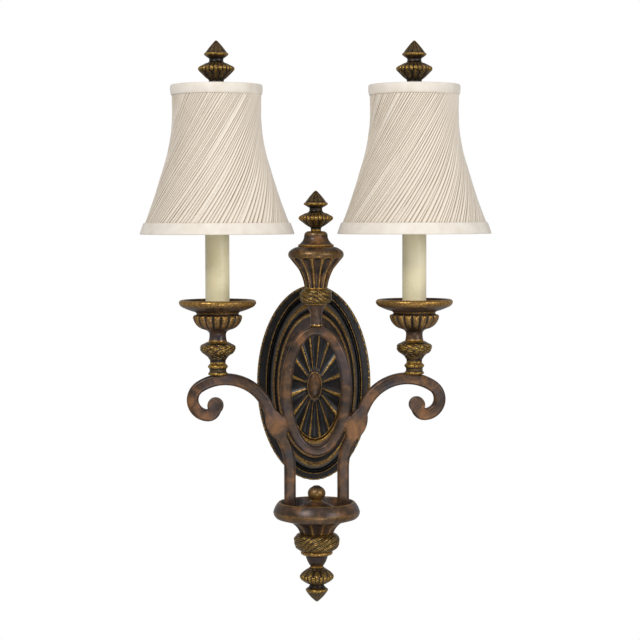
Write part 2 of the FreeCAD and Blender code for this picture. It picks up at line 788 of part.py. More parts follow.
def build_channel(label, side):
    """The open channel along the back of the arm, from the standoff to under the light."""
    p = arm_path(side)
    middle = junction(side)
    body = new_body(label + "_channel")
    section = sketch_on(body, "Section", "XZ_Plane")
    width = size("channel_width").value
    radius = size("arch_radius").value
    arch = p["arch_center"]
    # it ends a little past the leads, which come down on the light's axis
    end_x = (light_x + size("lead_radius") + size("channel_clearance")).value
    end_angle = math.acos((end_x - abs(arch.x)) / radius)
    along = FreeCAD.Vector(side * math.cos(p["lean"]), math.sin(p["lean"]), 0)
    across = FreeCAD.Vector(-along.y, along.x, 0) * side
    start_angle = math.atan2(p["lean_end"].y - arch.y, abs(p["lean_end"].x) - abs(arch.x))

    def around(angle, r):
        x = abs(arch.x) + r * math.cos(angle)
        return FreeCAD.Vector(side * x, arch.y + r * math.sin(angle), 0)

    half = width / 2
    mid_angle = (start_angle + end_angle) / 2
    # the channel starts a little past the standoff, where the outer lead turns back
    spread = size("lead_radius") * size("lead_spread")
    middle = middle - along * (spread + size("lead_radius") + size("channel_clearance")).value
    edges = [
        Part.LineSegment(middle - across * half, middle + across * half),
        Part.LineSegment(middle + across * half, around(start_angle, radius + half)),
        flat_arc(around(start_angle, radius + half), around(mid_angle, radius + half),
                 around(end_angle, radius + half))[0],
        Part.LineSegment(around(end_angle, radius + half), around(end_angle, radius - half)),
        flat_arc(around(end_angle, radius - half), around(mid_angle, radius - half),
                 around(start_angle, radius - half))[0],
        Part.LineSegment(around(start_angle, radius - half), middle - across * half),
    ]
    for edge in edges:
        section.addGeometry(edge)
    pad = body.newObject("PartDesign::Pad", "Channel")
    pad.Profile = section
    bind(pad, "Length", half_depth + spread + size("lead_radius") + size("channel_clearance"))
    place(body, 0, -arm_back, 0)
    return body


# The oval ring, with broken edges inside and out
def ring_steps(width, height, chamfer):
    back = arm_back
    front = arm_back + size("bar_depth")
    return [
        (width - chamfer * 2, height - chamfer * 2, back),
        (width, height, back + size("ring_chamfer")),
        (width, height, front - size("ring_chamfer")),
        (width - chamfer * 2, height - chamfer * 2, front),
    ]


ring_outer = oval_stack(
    "ring_outer", ring_steps(ring_width, size("ring_height"), size("ring_chamfer"))
)
ring_inner = oval_stack(
    "ring_inner",
    ring_steps(
        ring_width - size("ring_side_bar") * 2,
        size("ring_height") - size("ring_end_bar") * 2,
        -size("ring_chamfer"),
    ),
)
ring_thread = tube(
    "ring_thread", rod_fit, None, size("rod_in_ring"), 0, arm_y,
    ring_top - size("rod_in_ring"),
)
cut("center_ring", ring_outer, [ring_inner, ring_thread])

# The middle ornaments above the ring, threaded on one rod
level = ring_top
for piece in ("center_stem", "top_wreath", "center_vase", "vase_cap"):
    turned(piece, piece, 0, arm_y, level, rod_fit)
    level = level + piece_height(piece)
finial_inside = blind_bore(rod_fit, piece_height("top_finial"), size("rod_in_finial"))
turned("top_finial", "top_finial", 0, arm_y, level, None, inside=finial_inside)
top_rod_length = level + size("rod_in_finial") - ring_top + size("rod_in_ring")
tube(
    "top_rod", size("rod_radius"), None, top_rod_length, 0, arm_y,
    ring_top - size("rod_in_ring"),
)

# The cup at the foot of the legs and what hangs under it, on a second rod
rim_level = size("cup_rim_level")
floor_level = size("leg_foot_level") - size("foot_bar_thickness")
floor_drop = floor_level - rim_level
cup_inside = [
    (rod_fit, -piece_height("bottom_cup"), 0),
    (rod_fit, floor_drop, 0),
    (size("cup_floor_radius"), floor_drop, 0),
    (size("cup_opening_radius"), as_size(0), 0),
]
turned("bottom_cup", "bottom_cup", 0, arm_y, rim_level, None, -1, cup_inside)
level = rim_level - piece_height("bottom_cup")
for piece in ("bottom_wreath", "bottom_reel"):
    turned(piece, piece, 0, arm_y, level, rod_fit, -1)
    level = level - piece_height(piece)
drop_inside = blind_bore(rod_fit, -piece_height("bottom_finial"), -size("rod_in_finial"))
turned("bottom_finial", "bottom_finial", 0, arm_y, level, None, -1, drop_inside)
bottom_rod_foot = level - size("rod_in_finial")

def box_from(label, x, y, z, width, depth, height):
    """A box that starts at its left, front, low corner."""
    box = doc.addObject("Part::Box", "Box_" + label)
    bind(box, "Length", width)
    bind(box, "Width", depth)
    bind(box, "Height", height)
    place(box, x, y, z)
    return box


bar_length = size("leg_spacing") + size("bar_width") - size("foot_bar_margin")
foot_bar = box_from(
    "foot_bar_blank", -bar_length / 2, arm_y - half_depth + size("bar_chamfer"), floor_level,
    bar_length, size("bar_depth") - size("bar_chamfer") * 2, size("foot_bar_thickness"),
)
foot_bar_hole = tube(
    "foot_bar_hole", rod_fit, None, size("foot_bar_thickness"), 0, arm_y, floor_level
)
cut("foot_bar", foot_bar, [foot_bar_hole])
turned("cup_lid", "cup_lid", 0, arm_y, size("leg_foot_level"), rod_fit)
ball_level = size("leg_foot_level") + piece_height("cup_lid")
ball_inside = blind_bore(rod_fit, piece_height("lid_ball"), size("rod_in_ball"))
turned("lid_ball", "lid_ball", 0, arm_y, ball_level, None, inside=ball_inside)
tube(
    "bottom_rod", size("rod_radius"), None, ball_level + size("rod_in_ball") - bottom_rod_foot,
    0, arm_y, bottom_rod_foot,
)

# The backplate: a cast shell of stepped ovals
wall = size("plate_wall")
edge_width = size("plate_width")
edge_height = size("plate_height")
plate_outside = oval_stack("plate_outside", [
    (edge_width, edge_height, as_size(0)),
    (edge_width, edge_height, size("plate_edge_depth")),
    (edge_width - size("band_inset") * 2, edge_height - size("band_inset") * 2,
     size("band_depth")),
    (size("ridge_width"), size("ridge_height"), size("ridge_depth")),
    (size("cove_width"), size("cove_height"), size("cove_depth")),
    (size("torus_width"), size("torus_height"), size("torus_depth")),
    (size("rim_width"), size("rim_height"), size("rim_depth")),
])
floor_depth = size("rim_depth") - size("rosette_recess")
plate_inside = oval_stack("plate_inside", [
    (edge_width - wall * 2, edge_height - wall * 2, as_size(0)),
    (edge_width - wall * 2, edge_height - wall * 2,
     size("band_depth") - wall - size("corner_thickening")),
    (size("cove_width") - wall * 2, size("cove_height") - wall * 2, size("cove_depth") - wall),
    (size("torus_width") - wall * 2, size("torus_height") - wall * 2,
     size("torus_depth") - wall),
    (size("rim_width") - wall * 2, size("rim_height") - wall * 2, floor_depth - wall),
])
rosette_cut = oval_block(
    "rosette_cut", size("rosette_width"), size("rosette_height"), floor_depth,
    size("rosette_recess") * 2,
)
stud_bore = size("boss_stud_radius") + size("seat_clearance")
boss_hole = tube("boss_hole", stud_bore, None, size("rim_depth"), 0, 0, 0, TO_ROOM)
nut_corner = size("nut_across_flats") / math.sqrt(3)
pads = []
openings = []
for prefix, side in (("left", -1), ("right", 1)):
    spot = junction(side)
    pads.append(tube(
        prefix + "_pad", size("standoff_pad_radius"), None,
        size("rim_depth") - size("pad_back_depth"),
        spot.x, -size("pad_back_depth"), spot.y, TO_ROOM,
    ))
    openings.append(tube(
        prefix + "_nut_room", nut_corner + size("turning_clearance"), None,
        size("pad_back_depth"), spot.x, 0, spot.y, TO_ROOM,
    ))
    openings.append(tube(
        prefix + "_pad_hole", tube_fit, None, size("rim_depth"), spot.x, 0, spot.y,
        TO_ROOM,
    ))
# the strap behind the plate ends inside its edge, and each edge screw ends in its tab
strap_width = size("bracket_width")
strap = size("bracket_thickness")
inner_half_width = edge_width / 2 - wall
inner_half_height = edge_height / 2 - wall
corner_share = (strap_width / 2 + size("bracket_clearance")) / inner_half_width
chord = root(as_size(1) - corner_share * corner_share)
strap_half = inner_half_height * chord - size("bracket_clearance")
screw_length = edge_height / 2 - strap_half + strap
screw_y = -size("edge_screw_depth")
screw_ends = {
    "low": -edge_height / 2,
    "high": edge_height / 2 - screw_length,
}
for end, foot in screw_ends.items():
    openings.append(tube(
        f"edge_hole_{end}", size("edge_screw_radius") + size("seat_clearance"), None,
        screw_length, 0, screw_y, foot,
    ))
shell = cut("plate_shell", plate_outside, [plate_inside, rosette_cut])
cut("backplate", join("plate_padded", [shell] + pads), openings + [boss_hole])

# The fluted rosette's blank and the oval boss that holds it
gap = size("rosette_edge_gap")
rosette_front = floor_depth + size("rosette_thickness")
rosette_top = rosette_front + size("rosette_crown")
rosette = oval_stack("rosette_blank", [
    (size("rosette_width") - gap * 2, size("rosette_height") - gap * 2, floor_depth),
    (size("rosette_width") - gap * 2, size("rosette_height") - gap * 2, rosette_front),
    (size("boss_width"), size("boss_height"), rosette_top),
])
rosette_hole = tube("rosette_hole", stud_bore, None, rosette_top, 0, 0, 0, TO_ROOM)
cut("rosette", rosette, [rosette_hole])
boss_edge = size("boss_edge")
boss = oval_stack("boss_dome", [
    (size("boss_width"), size("boss_height"), rosette_top),
    (size("boss_width"), size("boss_height"), rosette_top + boss_edge),
    (size("boss_width") - boss_edge * 2, size("boss_height") - boss_edge * 2,
     rosette_top + boss_edge + size("boss_shoulder")),
    (size("boss_crown_width"), size("boss_crown_height"),
     rosette_top + boss_edge + size("boss_crown")),
])
stud_foot = floor_depth - wall
stud = tube(
    "boss_stud", size("boss_stud_radius"), None, rosette_top - stud_foot, 0, -stud_foot, 0,
    TO_ROOM,
)
join("rosette_boss", [boss, stud])

# The steel strap behind the backplate, with slots for the box screws and a tab at each end
strap_blank = box_from(
    "strap_blank", -strap_width / 2, -strap, -strap_half, strap_width, strap, strap_half * 2
)
tab_depth = size("edge_screw_depth") + size("edge_screw_radius") + size("bracket_clearance")
tab_feet = {"low": -strap_half, "high": strap_half - strap}
tabs = [
    box_from(f"tab_{end}", -strap_width / 2, -tab_depth, foot, strap_width, tab_depth, strap)
    for end, foot in tab_feet.items()
]
slots = []
slot_run = size("box_slot_length") - size("box_slot_width")
for name, sign in (("low", -1), ("high", 1)):
    middle_z = size("box_screw_spacing") / 2 * sign
    slots.append(box_from(
        f"slot_{name}", -size("box_slot_width") / 2, -strap, middle_z - slot_run / 2,
        size("box_slot_width"), strap, slot_run,
    ))
    for end in (-1, 1):
        slots.append(tube(
            f"slot_{name}_end_{end + 1}", size("box_slot_width") / 2, None, strap,
            0, 0, middle_z + slot_run / 2 * end, TO_ROOM,
        ))
wire_hole = tube("wire_hole", size("wire_hole_radius"), None, strap, 0, 0, 0, TO_ROOM)
ground_hole = tube(
    "ground_hole", size("ground_screw_radius") + size("seat_clearance"), None, strap,
    0, 0, -size("ground_screw_offset"), TO_ROOM,
)
tab_holes = [
    tube(
        f"tab_hole_{end}", size("edge_screw_radius") + size("seat_clearance"), None, strap,
        0, screw_y, foot,
    )
    for end, foot in tab_feet.items()
]
cut(
    "wall_bracket", join("strap", [strap_blank] + tabs),
    slots + [wire_hole, ground_hole] + tab_holes,
)
group("edge_screws", [
    tube(
        f"edge_screw_{end}", size("edge_screw_radius"), None, screw_length, 0, screw_y, foot,
    )
    for end, foot in screw_ends.items()
])
ground_z = -size("ground_screw_offset")
ground_seat = strap + size("ground_wire_radius") * 2
join("ground_screw", [
    tube("ground_shank", size("ground_screw_radius"), None, ground_seat, 0, 0, ground_z, TO_ROOM),
    tube("ground_head", size("ground_screw_head_radius"), None,
         size("ground_screw_head_height"), 0, -ground_seat, ground_z, TO_ROOM),
])

# Threaded tubes, spacers and lock nuts
tubes = []
spacers = []
nuts = []
bore = size("tube_bore")
stack = [seat_level]
for piece in ("column_collar", "column_knop", "candle_cup"):
    stack.append(stack[-1] + piece_height(piece))
dish_foot = stack[-1]
dish_floor = dish_foot + size("dish_floor_height")
sleeve_top = dish_floor + size("sleeve_length")
socket_foot = sleeve_top - size("socket_length")
tube_foot = seat_level - size("tube_in_arm")
# the ground wire's eye lies under the right lock nut
eye_room = size("ground_wire_radius") * 2
tube_back = (
    size("pad_back_depth") - eye_room - size("nut_height") - size("tube_past_nut")
)
for prefix, side in (("left", -1), ("right", 1)):
    spot = junction(side)
    spacers.append(tube(
        prefix + "_spacer", size("standoff_radius"), tube_fit,
        arm_back - size("rim_depth"),
        spot.x, -size("rim_depth"), spot.y, TO_ROOM,
    ))
    nut_face = size("pad_back_depth") - (eye_room if side > 0 else 0)
    tubes.append(tube(
        prefix + "_arm_tube", size("tube_radius"), bore,
        arm_back + size("tube_in_arm") - tube_back,
        spot.x, -tube_back, spot.y, TO_ROOM,
    ))
    nuts.append(nut(
        prefix + "_plate_nut", spot.x, -(nut_face - size("nut_height")),
        spot.y, TO_ROOM,
    ))
    tubes.append(tube(
        prefix + "_light_tube", size("tube_radius"), bore,
        socket_foot + size("tube_in_socket") - tube_foot,
        light_x * side, arm_y, tube_foot,
    ))
    nuts.append(nut(prefix + "_dish_nut", light_x * side, arm_y, dish_floor))
group("standoffs", spacers)
group("threaded_tubes", tubes)
group("lock_nuts", nuts)

# Candle, socket and bulb of each light
bulb_foot = sleeve_top + size("bulb_neck_gap")
bulb_top = bulb_foot + piece_height("bulb")
hem_level = dish_floor + size("shade_above_dish")
shade_height = piece_height("shade_cover")
shade_top = hem_level + shade_height
ring_level = shade_top - size("spider_drop")
hub_top = ring_level + size("spider_hub_thickness") / 2
washer_top = hub_top + size("washer_thickness")
stud_fit = size("clip_stud_radius") + size("seat_clearance")


def build_light(prefix, side):
    x = light_x * side
    for piece, foot in zip(("column_collar", "column_knop", "candle_cup"), stack):
        turned(f"{prefix}_{piece}", piece, x, arm_y, foot, tube_fit)
    dish = [
        (size("dish_flank_radius"), size("dish_flank_height"), 0),
        (size("dish_floor_radius"), size("dish_floor_height"), 0),
        (tube_fit, size("dish_floor_height"), 0),
        (tube_fit, as_size(0), 0),
    ]
    turned(f"{prefix}_bobeche", "bobeche", x, arm_y, dish_foot, None, inside=dish)
    tube(
        f"{prefix}_candle_sleeve", size("sleeve_radius"),
        size("sleeve_radius") - size("sleeve_wall"), size("sleeve_length"), x, arm_y, dish_floor,
    )
    build_socket(prefix, x)
    tube(
        f"{prefix}_bulb_base", size("bulb_base_radius"), None, size("bulb_base_length"),
        x, arm_y, bulb_foot - size("bulb_base_length"),
    )
    bulb = new_body(f"{prefix}_bulb")
    revolve(bulb, outer_corners("bulb") + [(as_size(0), piece_height("bulb"), 0),
                                           (as_size(0), as_size(0), 0)])
    place(bulb, x, arm_y, bulb_foot)
    build_clip(prefix, x)
    build_shade(prefix, x)
    tube(
        f"{prefix}_finial_washer", size("washer_radius"), stud_fit, size("washer_thickness"),
        x, arm_y, hub_top,
    )
    inside = blind_bore(stud_fit, piece_height("finial"), size("clip_stud_length"))
    turned(f"{prefix}_finial", "finial", x, arm_y, washer_top, None, inside=inside)


def build_socket(prefix, x):
    body = new_body(f"{prefix}_socket")
    foot_height = size("socket_foot_height")
    length = size("socket_length")
    pocket = length - size("socket_bore_depth")
    revolve(body, [
        (tube_fit, as_size(0), 0), (size("socket_foot_radius"), as_size(0), 0),
        (size("socket_foot_radius"), foot_height, 0), (size("socket_radius"), foot_height, 0),
        (size("socket_radius"), length, 0), (size("socket_bore_radius"), length, 0),
        (size("socket_bore_radius"), pocket, 0), (as_size(0), pocket, 0),
        (as_size(0), foot_height, 0), (size("tube_bore"), foot_height, 0),
        (size("tube_bore"), size("tube_in_socket"), 0), (tube_fit, size("tube_in_socket"), 0),
    ])
    place(body, x, arm_y, socket_foot)


def add_open_line(sketch, points):
    """Straight runs through points, each tied to the sheet."""
    spots = [FreeCAD.Vector(x.value, y.value, 0) for x, y in points]
    runs = [
        sketch.addGeometry(Part.LineSegment(spots[k], spots[k + 1]))
        for k in range(len(spots) - 1)
    ]
    for run, following in zip(runs, runs[1:]):
        sketch.addConstraint(Sketcher.Constraint("Coincident", run, 2, following, 1))
    for index, point in enumerate(points):
        geometry, end = (runs[index], 1) if index < len(runs) else (runs[-1], 2)
        for kind, number in zip(("DistanceX", "DistanceY"), point):
            place_of = sketch.addConstraint(
                Sketcher.Constraint(kind, -1, 1, geometry, end, number.value)
            )
            sketch.setExpression(f"Constraints[{place_of}]", number.text)


def build_clip(prefix, x):
    """A wire cage round the bulb, with a seat and a threaded stud for the shade."""
    body = new_body(f"{prefix}_bulb_clip")
    disc = bulb_top + size("clip_tip_gap") - bulb_foot
    seat = hub_top - size("spider_hub_thickness") - bulb_foot
    stud_top = washer_top + size("clip_stud_length") - size("stud_end_gap") - bulb_foot
    revolve(body, [
        (as_size(0), disc, 0), (size("clip_disc_radius"), disc, 0),
        (size("clip_disc_radius"), disc + size("clip_disc_height"), 0),
        (size("clip_post_radius"), disc + size("clip_disc_height"), 0),
        (size("clip_post_radius"), seat, 0), (size("clip_stud_radius"), seat, 0),
        (size("clip_stud_radius"), stud_top, 0), (as_size(0), stud_top, 0),
    ])
    wire = size("clip_wire_radius")
    grip = size("bulb_belly_radius") + size("bulb_grip_gap") + wire
    grip_level = size("bulb_belly_height")
    start = disc + size("clip_disc_height") / 2
    path = sketch_on(body, "LegLine", "XZ_Plane")
    add_open_line(path, [
        (grip, grip_level), (grip, grip_level + size("clip_straight")),
        (size("clip_shoulder_radius"), start - size("clip_shoulder_drop")),
        (size("clip_disc_radius") - wire, start),
    ])
    section = sketch_on(body, "WireSection", "XY_Plane", grip_level)
    circle = section.addGeometry(
        Part.Circle(FreeCAD.Vector(grip.value, 0, 0), FreeCAD.Vector(0, 0, 1), wire.value)
    )
    section.addConstraint([
        Sketcher.Constraint("PointOnObject", circle, 3, -1),
        Sketcher.Constraint("DistanceX", -1, 1, circle, 3, grip.value),
        Sketcher.Constraint("Radius", circle, wire.value),
    ])
    section.setExpression("Constraints[1]", grip.text)
    section.setExpression("Constraints[2]", wire.text)
    leg = body.newObject("PartDesign::AdditivePipe", "Leg")
    leg.Profile = section
    leg.Spine = (path, [])
    leg.Transition = "Round corner"
    doc.recompute()
    legs = body.newObject("PartDesign::PolarPattern", "Legs")
    legs.Originals = [leg]
    legs.Axis = (section, ["N_Axis"])
    legs.Occurrences = CLIP_LEGS
    legs.Angle = 360
    body.Tip = legs
    wire_ring = sketch_on(body, "RingSection", "XZ_Plane")
    circle = wire_ring.addGeometry(Part.Circle(
        FreeCAD.Vector(grip.value, grip_level.value, 0), FreeCAD.Vector(0, 0, 1), wire.value
    ))
    wire_ring.addConstraint([
        Sketcher.Constraint("DistanceX", -1, 1, circle, 3, grip.value),
        Sketcher.Constraint("DistanceY", -1, 1, circle, 3, grip_level.value),
        Sketcher.Constraint("Radius", circle, wire.value),
    ])
    for index, number in enumerate((grip, grip_level, wire)):
        wire_ring.setExpression(f"Constraints[{index}]", number.text)
    ring = body.newObject("PartDesign::Revolution", "GripRing")
    ring.Profile = wire_ring
    ring.ReferenceAxis = (wire_ring, ["V_Axis"])
    ring.Angle = 360
    place(body, x, arm_y, bulb_foot)


def wire_torus(name, ring_radius, x, z):
    hoop = doc.addObject("Part::Torus", name)
    bind(hoop, "Radius1", ring_radius)
    bind(hoop, "Radius2", size("ring_wire_radius"))
    place(hoop, x, arm_y, z)
    return hoop


def hem_slope():
    run = size("shade_cover_hem_radius") - size("shade_cover_skirt_radius")
    return run / size("shade_cover_skirt_height")


def build_shade(prefix, x):
    """Wire frame, cover and the bound edges of one shade."""
    wire = size("ring_wire_radius")
    top_radius = size("shade_cover_top_radius")
    hem_radius = size("shade_cover_hem_radius")
    shade_wall = size("shade_wall")
    tape = size("trim_thickness") + size("frame_gap") * 2
    hoop = top_radius - shade_wall - tape - wire
    hub = tube(
        f"{prefix}_hub", size("spider_hub_radius"), None, size("spider_hub_thickness"),
        x, arm_y, ring_level - size("spider_hub_thickness") / 2,
    )
    spokes = []
    for arm in range(SPIDER_ARMS):
        turn = FreeCAD.Rotation(FreeCAD.Vector(0, 0, 1), 360 * arm / SPIDER_ARMS + SPIDER_TURN)
        lay = turn.multiply(FreeCAD.Rotation(FreeCAD.Vector(0, 1, 0), 90))
        spokes.append(tube(f"{prefix}_spoke_{arm}", wire, None, hoop, x, arm_y, ring_level, lay))
    # the spokes end inside the hub's edge, clear of the washer above and the disc below it
    spoke_room = tube(
        f"{prefix}_spoke_room", size("spider_hub_radius") - size("spoke_in_hub"), None, wire * 4,
        x, arm_y, ring_level - wire * 2,
    )
    arms = cut(f"{prefix}_spider_arms", join(f"{prefix}_spokes", spokes), [spoke_room])
    frame = join(
        f"{prefix}_spider_blank",
        [hub, wire_torus(f"{prefix}_top_hoop", hoop, x, ring_level), arms],
    )
    hub_bore = tube(
        f"{prefix}_hub_bore", stud_fit, None, wire * 4, x, arm_y, ring_level - wire * 2
    )
    cut(f"{prefix}_shade_spider", frame, [hub_bore])
    lean = hem_slope() * wire * 2
    hem_hoop = wire_torus(
        f"{prefix}_shade_bottom_ring", hem_radius - shade_wall - tape - lean - wire, x,
        hem_level + wire,
    )
    hem_hoop.Label = f"{prefix}_shade_bottom_ring"
    outside = outer_corners("shade_cover")
    inside = []
    for index in range(len(outside) - 1, -1, -1):
        bow = -outside[index - 1][2] if index else 0
        inside.append((outside[index][0] - shade_wall, outside[index][1], bow))
    cover = new_body(f"{prefix}_shade_cover")
    revolve(cover, outside + inside)
    place(cover, x, arm_y, hem_level)
    group(f"{prefix}_shade_trims", [
        edge_trim(f"{prefix}_top_trim", x, "waist", "top", size("top_trim_height"), 1),
        edge_trim(f"{prefix}_hem_trim", x, "skirt", "hem", size("bottom_trim_height"), -1),
    ])


def edge_trim(name, x, far, near, reach, up):
    """Tape folded over one edge of the cover: near is the edge, far the corner it runs to."""
    near_radius = size(f"shade_cover_{near}_radius")
    near_height = size(f"shade_cover_{near}_height")
    far_radius = size(f"shade_cover_{far}_radius")
    far_height = size(f"shade_cover_{far}_height")
    slope = (near_radius - far_radius) / ((near_height - far_height) * up)
    gap = size("frame_gap")
    tape = size("trim_thickness")
    end_radius = near_radius - slope * reach + gap
    inner = near_radius - size("shade_wall") - gap - slope * size("trim_lap")

    def height(rise):
        return near_height + rise * up

    corners = [
        (end_radius, height(-reach), 0), (end_radius + tape, height(-reach), 0),
        (near_radius + gap + tape, height(gap + tape), 0), (inner - tape, height(gap + tape), 0),
        (inner - tape, height(-size("trim_lap")), 0), (inner, height(-size("trim_lap")), 0),
        (inner, height(gap), 0), (near_radius + gap, height(gap), 0),
    ]
    body = new_body(name)
    revolve(body, corners)
    place(body, x, arm_y, hem_level)
    return body


for prefix, side in (("left", -1), ("right", 1)):
    build_arm(prefix, side)
    build_light(prefix, side)


# The leads: two from each socket, down the light's tube, along the channel in the arm, back
# through the standoff and in to a wire nut, round smooth bends all the way
def rounded_run(points, radii):
    """Edges of a run through corner points, each corner an arc of its own radius."""
    edges = []
    start = points[0]
    for index in range(1, len(points) - 1):
        corner = points[index]
        before = (points[index - 1] - corner).normalize()
        after = (points[index + 1] - corner).normalize()
        half = math.acos(max(-1.0, min(1.0, before.dot(after)))) / 2
        setback = radii[index - 1] / math.tan(half)
        bend_start = corner + before * setback
        bend_end = corner + after * setback
        inward = (before + after).normalize()
        middle = corner + inward * (radii[index - 1] / math.sin(half) - radii[index - 1])
        edges.append(Part.LineSegment(start, bend_start).toShape())
        edges.append(Part.Arc(bend_start, middle, bend_end).toShape())
        start = bend_end
    edges.append(Part.LineSegment(start, points[-1]).toShape())
    return edges


def pipe_along(edges, radius):
    """A round solid along a wire of straight runs and arcs."""
    spine = Part.Wire(edges)
    first = spine.Edges[0]
    direction = first.tangentAt(first.FirstParameter)
    circle = Part.Circle(first.valueAt(first.FirstParameter), direction, radius)
    section = Part.Wire([circle.toShape()])
    solid = spine.makePipeShell([section], True, True)
    if abs(solid.Volume / (math.pi * radius * radius * spine.Length) - 1) > 0.01:
        raise RuntimeError("a bend of a wire run has folded over")
    return solid


def lead_solid(side, offset, level, nut_x, nut_depth):
    """One lead of one light. The offset is its place across the tubes, the level is where it
    crosses the back of the plate on its way to its nut."""
    p = arm_path(side)
    bend = size("lead_bend_radius").value
    radius = size("arch_radius").value
    y = arm_y.value + offset
    arch = FreeCAD.Vector(abs(p["arch_center"].x), y, p["arch_center"].y)

    def at(x, z):
        return FreeCAD.Vector(side * x, y, z)

    # down the light's tube and round into the arch's centre line
    corner_x = light_x.value - bend
    corner_z = arch.z + math.sqrt((radius + bend) ** 2 - (corner_x - arch.x) ** 2)
    top = at(light_x.value, (socket_foot + size("socket_foot_height")).value)
    bend_start = at(light_x.value, corner_z)
    share = radius / (radius + bend)
    touch_x = arch.x + (corner_x - arch.x) * share
    touch_z = arch.z + (corner_z - arch.z) * share
    half_turn = math.atan2(corner_z - touch_z, corner_x - touch_x) / 2
    bow = at(corner_x + bend * math.cos(half_turn), corner_z - bend * math.sin(half_turn))
    lean_x = abs(p["lean_end"].x)
    lean_z = p["lean_end"].y
    middle = (math.atan2(touch_z - arch.z, touch_x - arch.x)
              + math.atan2(lean_z - arch.z, lean_x - arch.x)) / 2
    arch_middle = at(arch.x + radius * math.cos(middle), arch.z + radius * math.sin(middle))
    lean_end = at(lean_x, lean_z)
    edges = [
        Part.LineSegment(top, bend_start).toShape(),
        Part.Arc(bend_start, bow, at(touch_x, touch_z)).toShape(),
        Part.Arc(at(touch_x, touch_z), arch_middle, lean_end).toShape(),
    ]
    # the two leads turn back one round the other, and a quarter turn in the tube sets them
    # one above the other behind the plate
    spot = junction(side)
    along = FreeCAD.Vector(side * math.cos(p["lean"]), 0, math.sin(p["lean"]))
    turn_corner = FreeCAD.Vector(spot.x, y, spot.y) + along * offset
    spread = abs(offset)
    turn = bend + spread - offset
    behind = FreeCAD.Vector(spot.x, -size("lead_back_depth").value, spot.y + offset)
    kink = FreeCAD.Vector(
        side * size("lead_kink_x").value, -size("lead_kink_depth").value, behind.z + offset
    )
    under_nut = FreeCAD.Vector(nut_x, -nut_depth, level)
    in_nut = FreeCAD.Vector(
        nut_x, -nut_depth, (size("wire_nut_level") + size("wire_nut_hollow")).value
    )
    edges += rounded_run(
        [lean_end, turn_corner, behind, kink, under_nut, in_nut], [turn, bend, bend, bend]
    )
    return pipe_along(edges, size("lead_radius").value)


half_nuts = size("wire_nut_spacing").value / 2
upper = size("lead_upper_level").value
lower = size("lead_lower_level").value
spread = (size("lead_radius") * size("lead_spread")).value
lead_shapes = []
for side in (-1, 1):
    for nut_side, depth in ((1, "live_nut_depth"), (-1, "neutral_nut_depth")):
        near = nut_side == side
        lead_shapes.append(lead_solid(
            side, spread if near else -spread, upper if near else lower,
            nut_side * half_nuts + side * spread, size(depth).value,
        ))
leads = doc.addObject("Part::Feature", "Leads")
leads.Shape = Part.Compound(lead_shapes)
leads.Label = "leads"

nut_shapes = []
for nut_side, nut_depth in ((1, "live_nut_depth"), (-1, "neutral_nut_depth")):
    body = new_body(nut_depth.replace("_depth", ""))
    length = size("wire_nut_length")
    mouth = size("wire_nut_mouth_radius")
    crown = size("wire_nut_radius")
    inside = mouth - size("wire_nut_wall")
    hollow = size("wire_nut_hollow")
    revolve(body, [
        (inside, as_size(0), 0), (mouth, as_size(0), 0), (mouth, size("wire_nut_skirt"), 0),
        (crown, hollow, 0), (size("wire_nut_tip_radius"), length, 0), (as_size(0), length, 0),
        (as_size(0), hollow, 0), (size("wire_nut_hollow_radius"), hollow, 0),
    ])
    place(body, size("wire_nut_spacing") / 2 * nut_side, -size(nut_depth), size("wire_nut_level"))
    nut_shapes.append(body)
group("wire_nuts", nut_shapes)

# A bare ground wire from an eye round the green screw to an eye under the right lock nut
spot = junction(1)
ground_r = size("ground_wire_radius").value
screw_eye_depth = (strap + size("ground_wire_radius")).value
nut_eye_depth = (size("pad_back_depth") - size("ground_wire_radius")).value
screw_eye_radius = (
    size("ground_screw_radius") + size("ground_wire_radius") + size("seat_clearance")
).value
nut_eye_radius = (tube_fit + size("ground_wire_radius")).value
ground_ends = [
    (FreeCAD.Vector(0, -screw_eye_depth, ground_z.value), screw_eye_radius),
    (FreeCAD.Vector(spot.x, -nut_eye_depth, spot.y), nut_eye_radius),
]
kink = FreeCAD.Vector(
    size("ground_kink_x").value, -size("ground_kink_depth").value, ground_z.value
)
leave = FreeCAD.Vector(screw_eye_radius, -screw_eye_depth, ground_z.value)
toward = FreeCAD.Vector(kink.x - spot.x, 0, kink.z - spot.y).normalize() * nut_eye_radius
arrive = ground_ends[1][0] + toward
ground_solid = pipe_along(
    rounded_run([leave, kink, arrive], [size("ground_bend_radius").value]), ground_r
)
for middle, eye_radius in ground_ends:
    ground_solid = ground_solid.fuse(
        Part.makeTorus(eye_radius, ground_r, middle, FreeCAD.Vector(0, 1, 0))
    )
ground_wire = doc.addObject("Part::Feature", "GroundWire")
ground_wire.Shape = ground_solid
ground_wire.Label = "ground_wire"

# The nodes, checked and written
CENTER_NODES = [
    "backplate", "rosette", "rosette_boss", "wall_bracket", "edge_screws", "ground_screw",
    "ground_wire", "wire_nuts", "center_ring", "center_stem", "top_wreath", "center_vase",
    "vase_cap", "top_finial", "top_rod", "bottom_cup", "cup_lid", "lid_ball", "foot_bar",
    "bottom_wreath", "bottom_reel", "bottom_finial", "bottom_rod", "standoffs",
    "threaded_tubes", "lock_nuts", "leads",
]
SIDE_NODES = [
    "arm", "column_collar", "column_knop", "candle_cup", "bobeche", "socket", "candle_sleeve",
    "bulb", "bulb_base", "bulb_clip", "shade_spider", "shade_bottom_ring", "shade_cover",
    "shade_trims", "finial_washer", "finial",
]
labels = CENTER_NODES + [f"{prefix}_{node}" for prefix in ("left", "right") for node in SIDE_NODES]

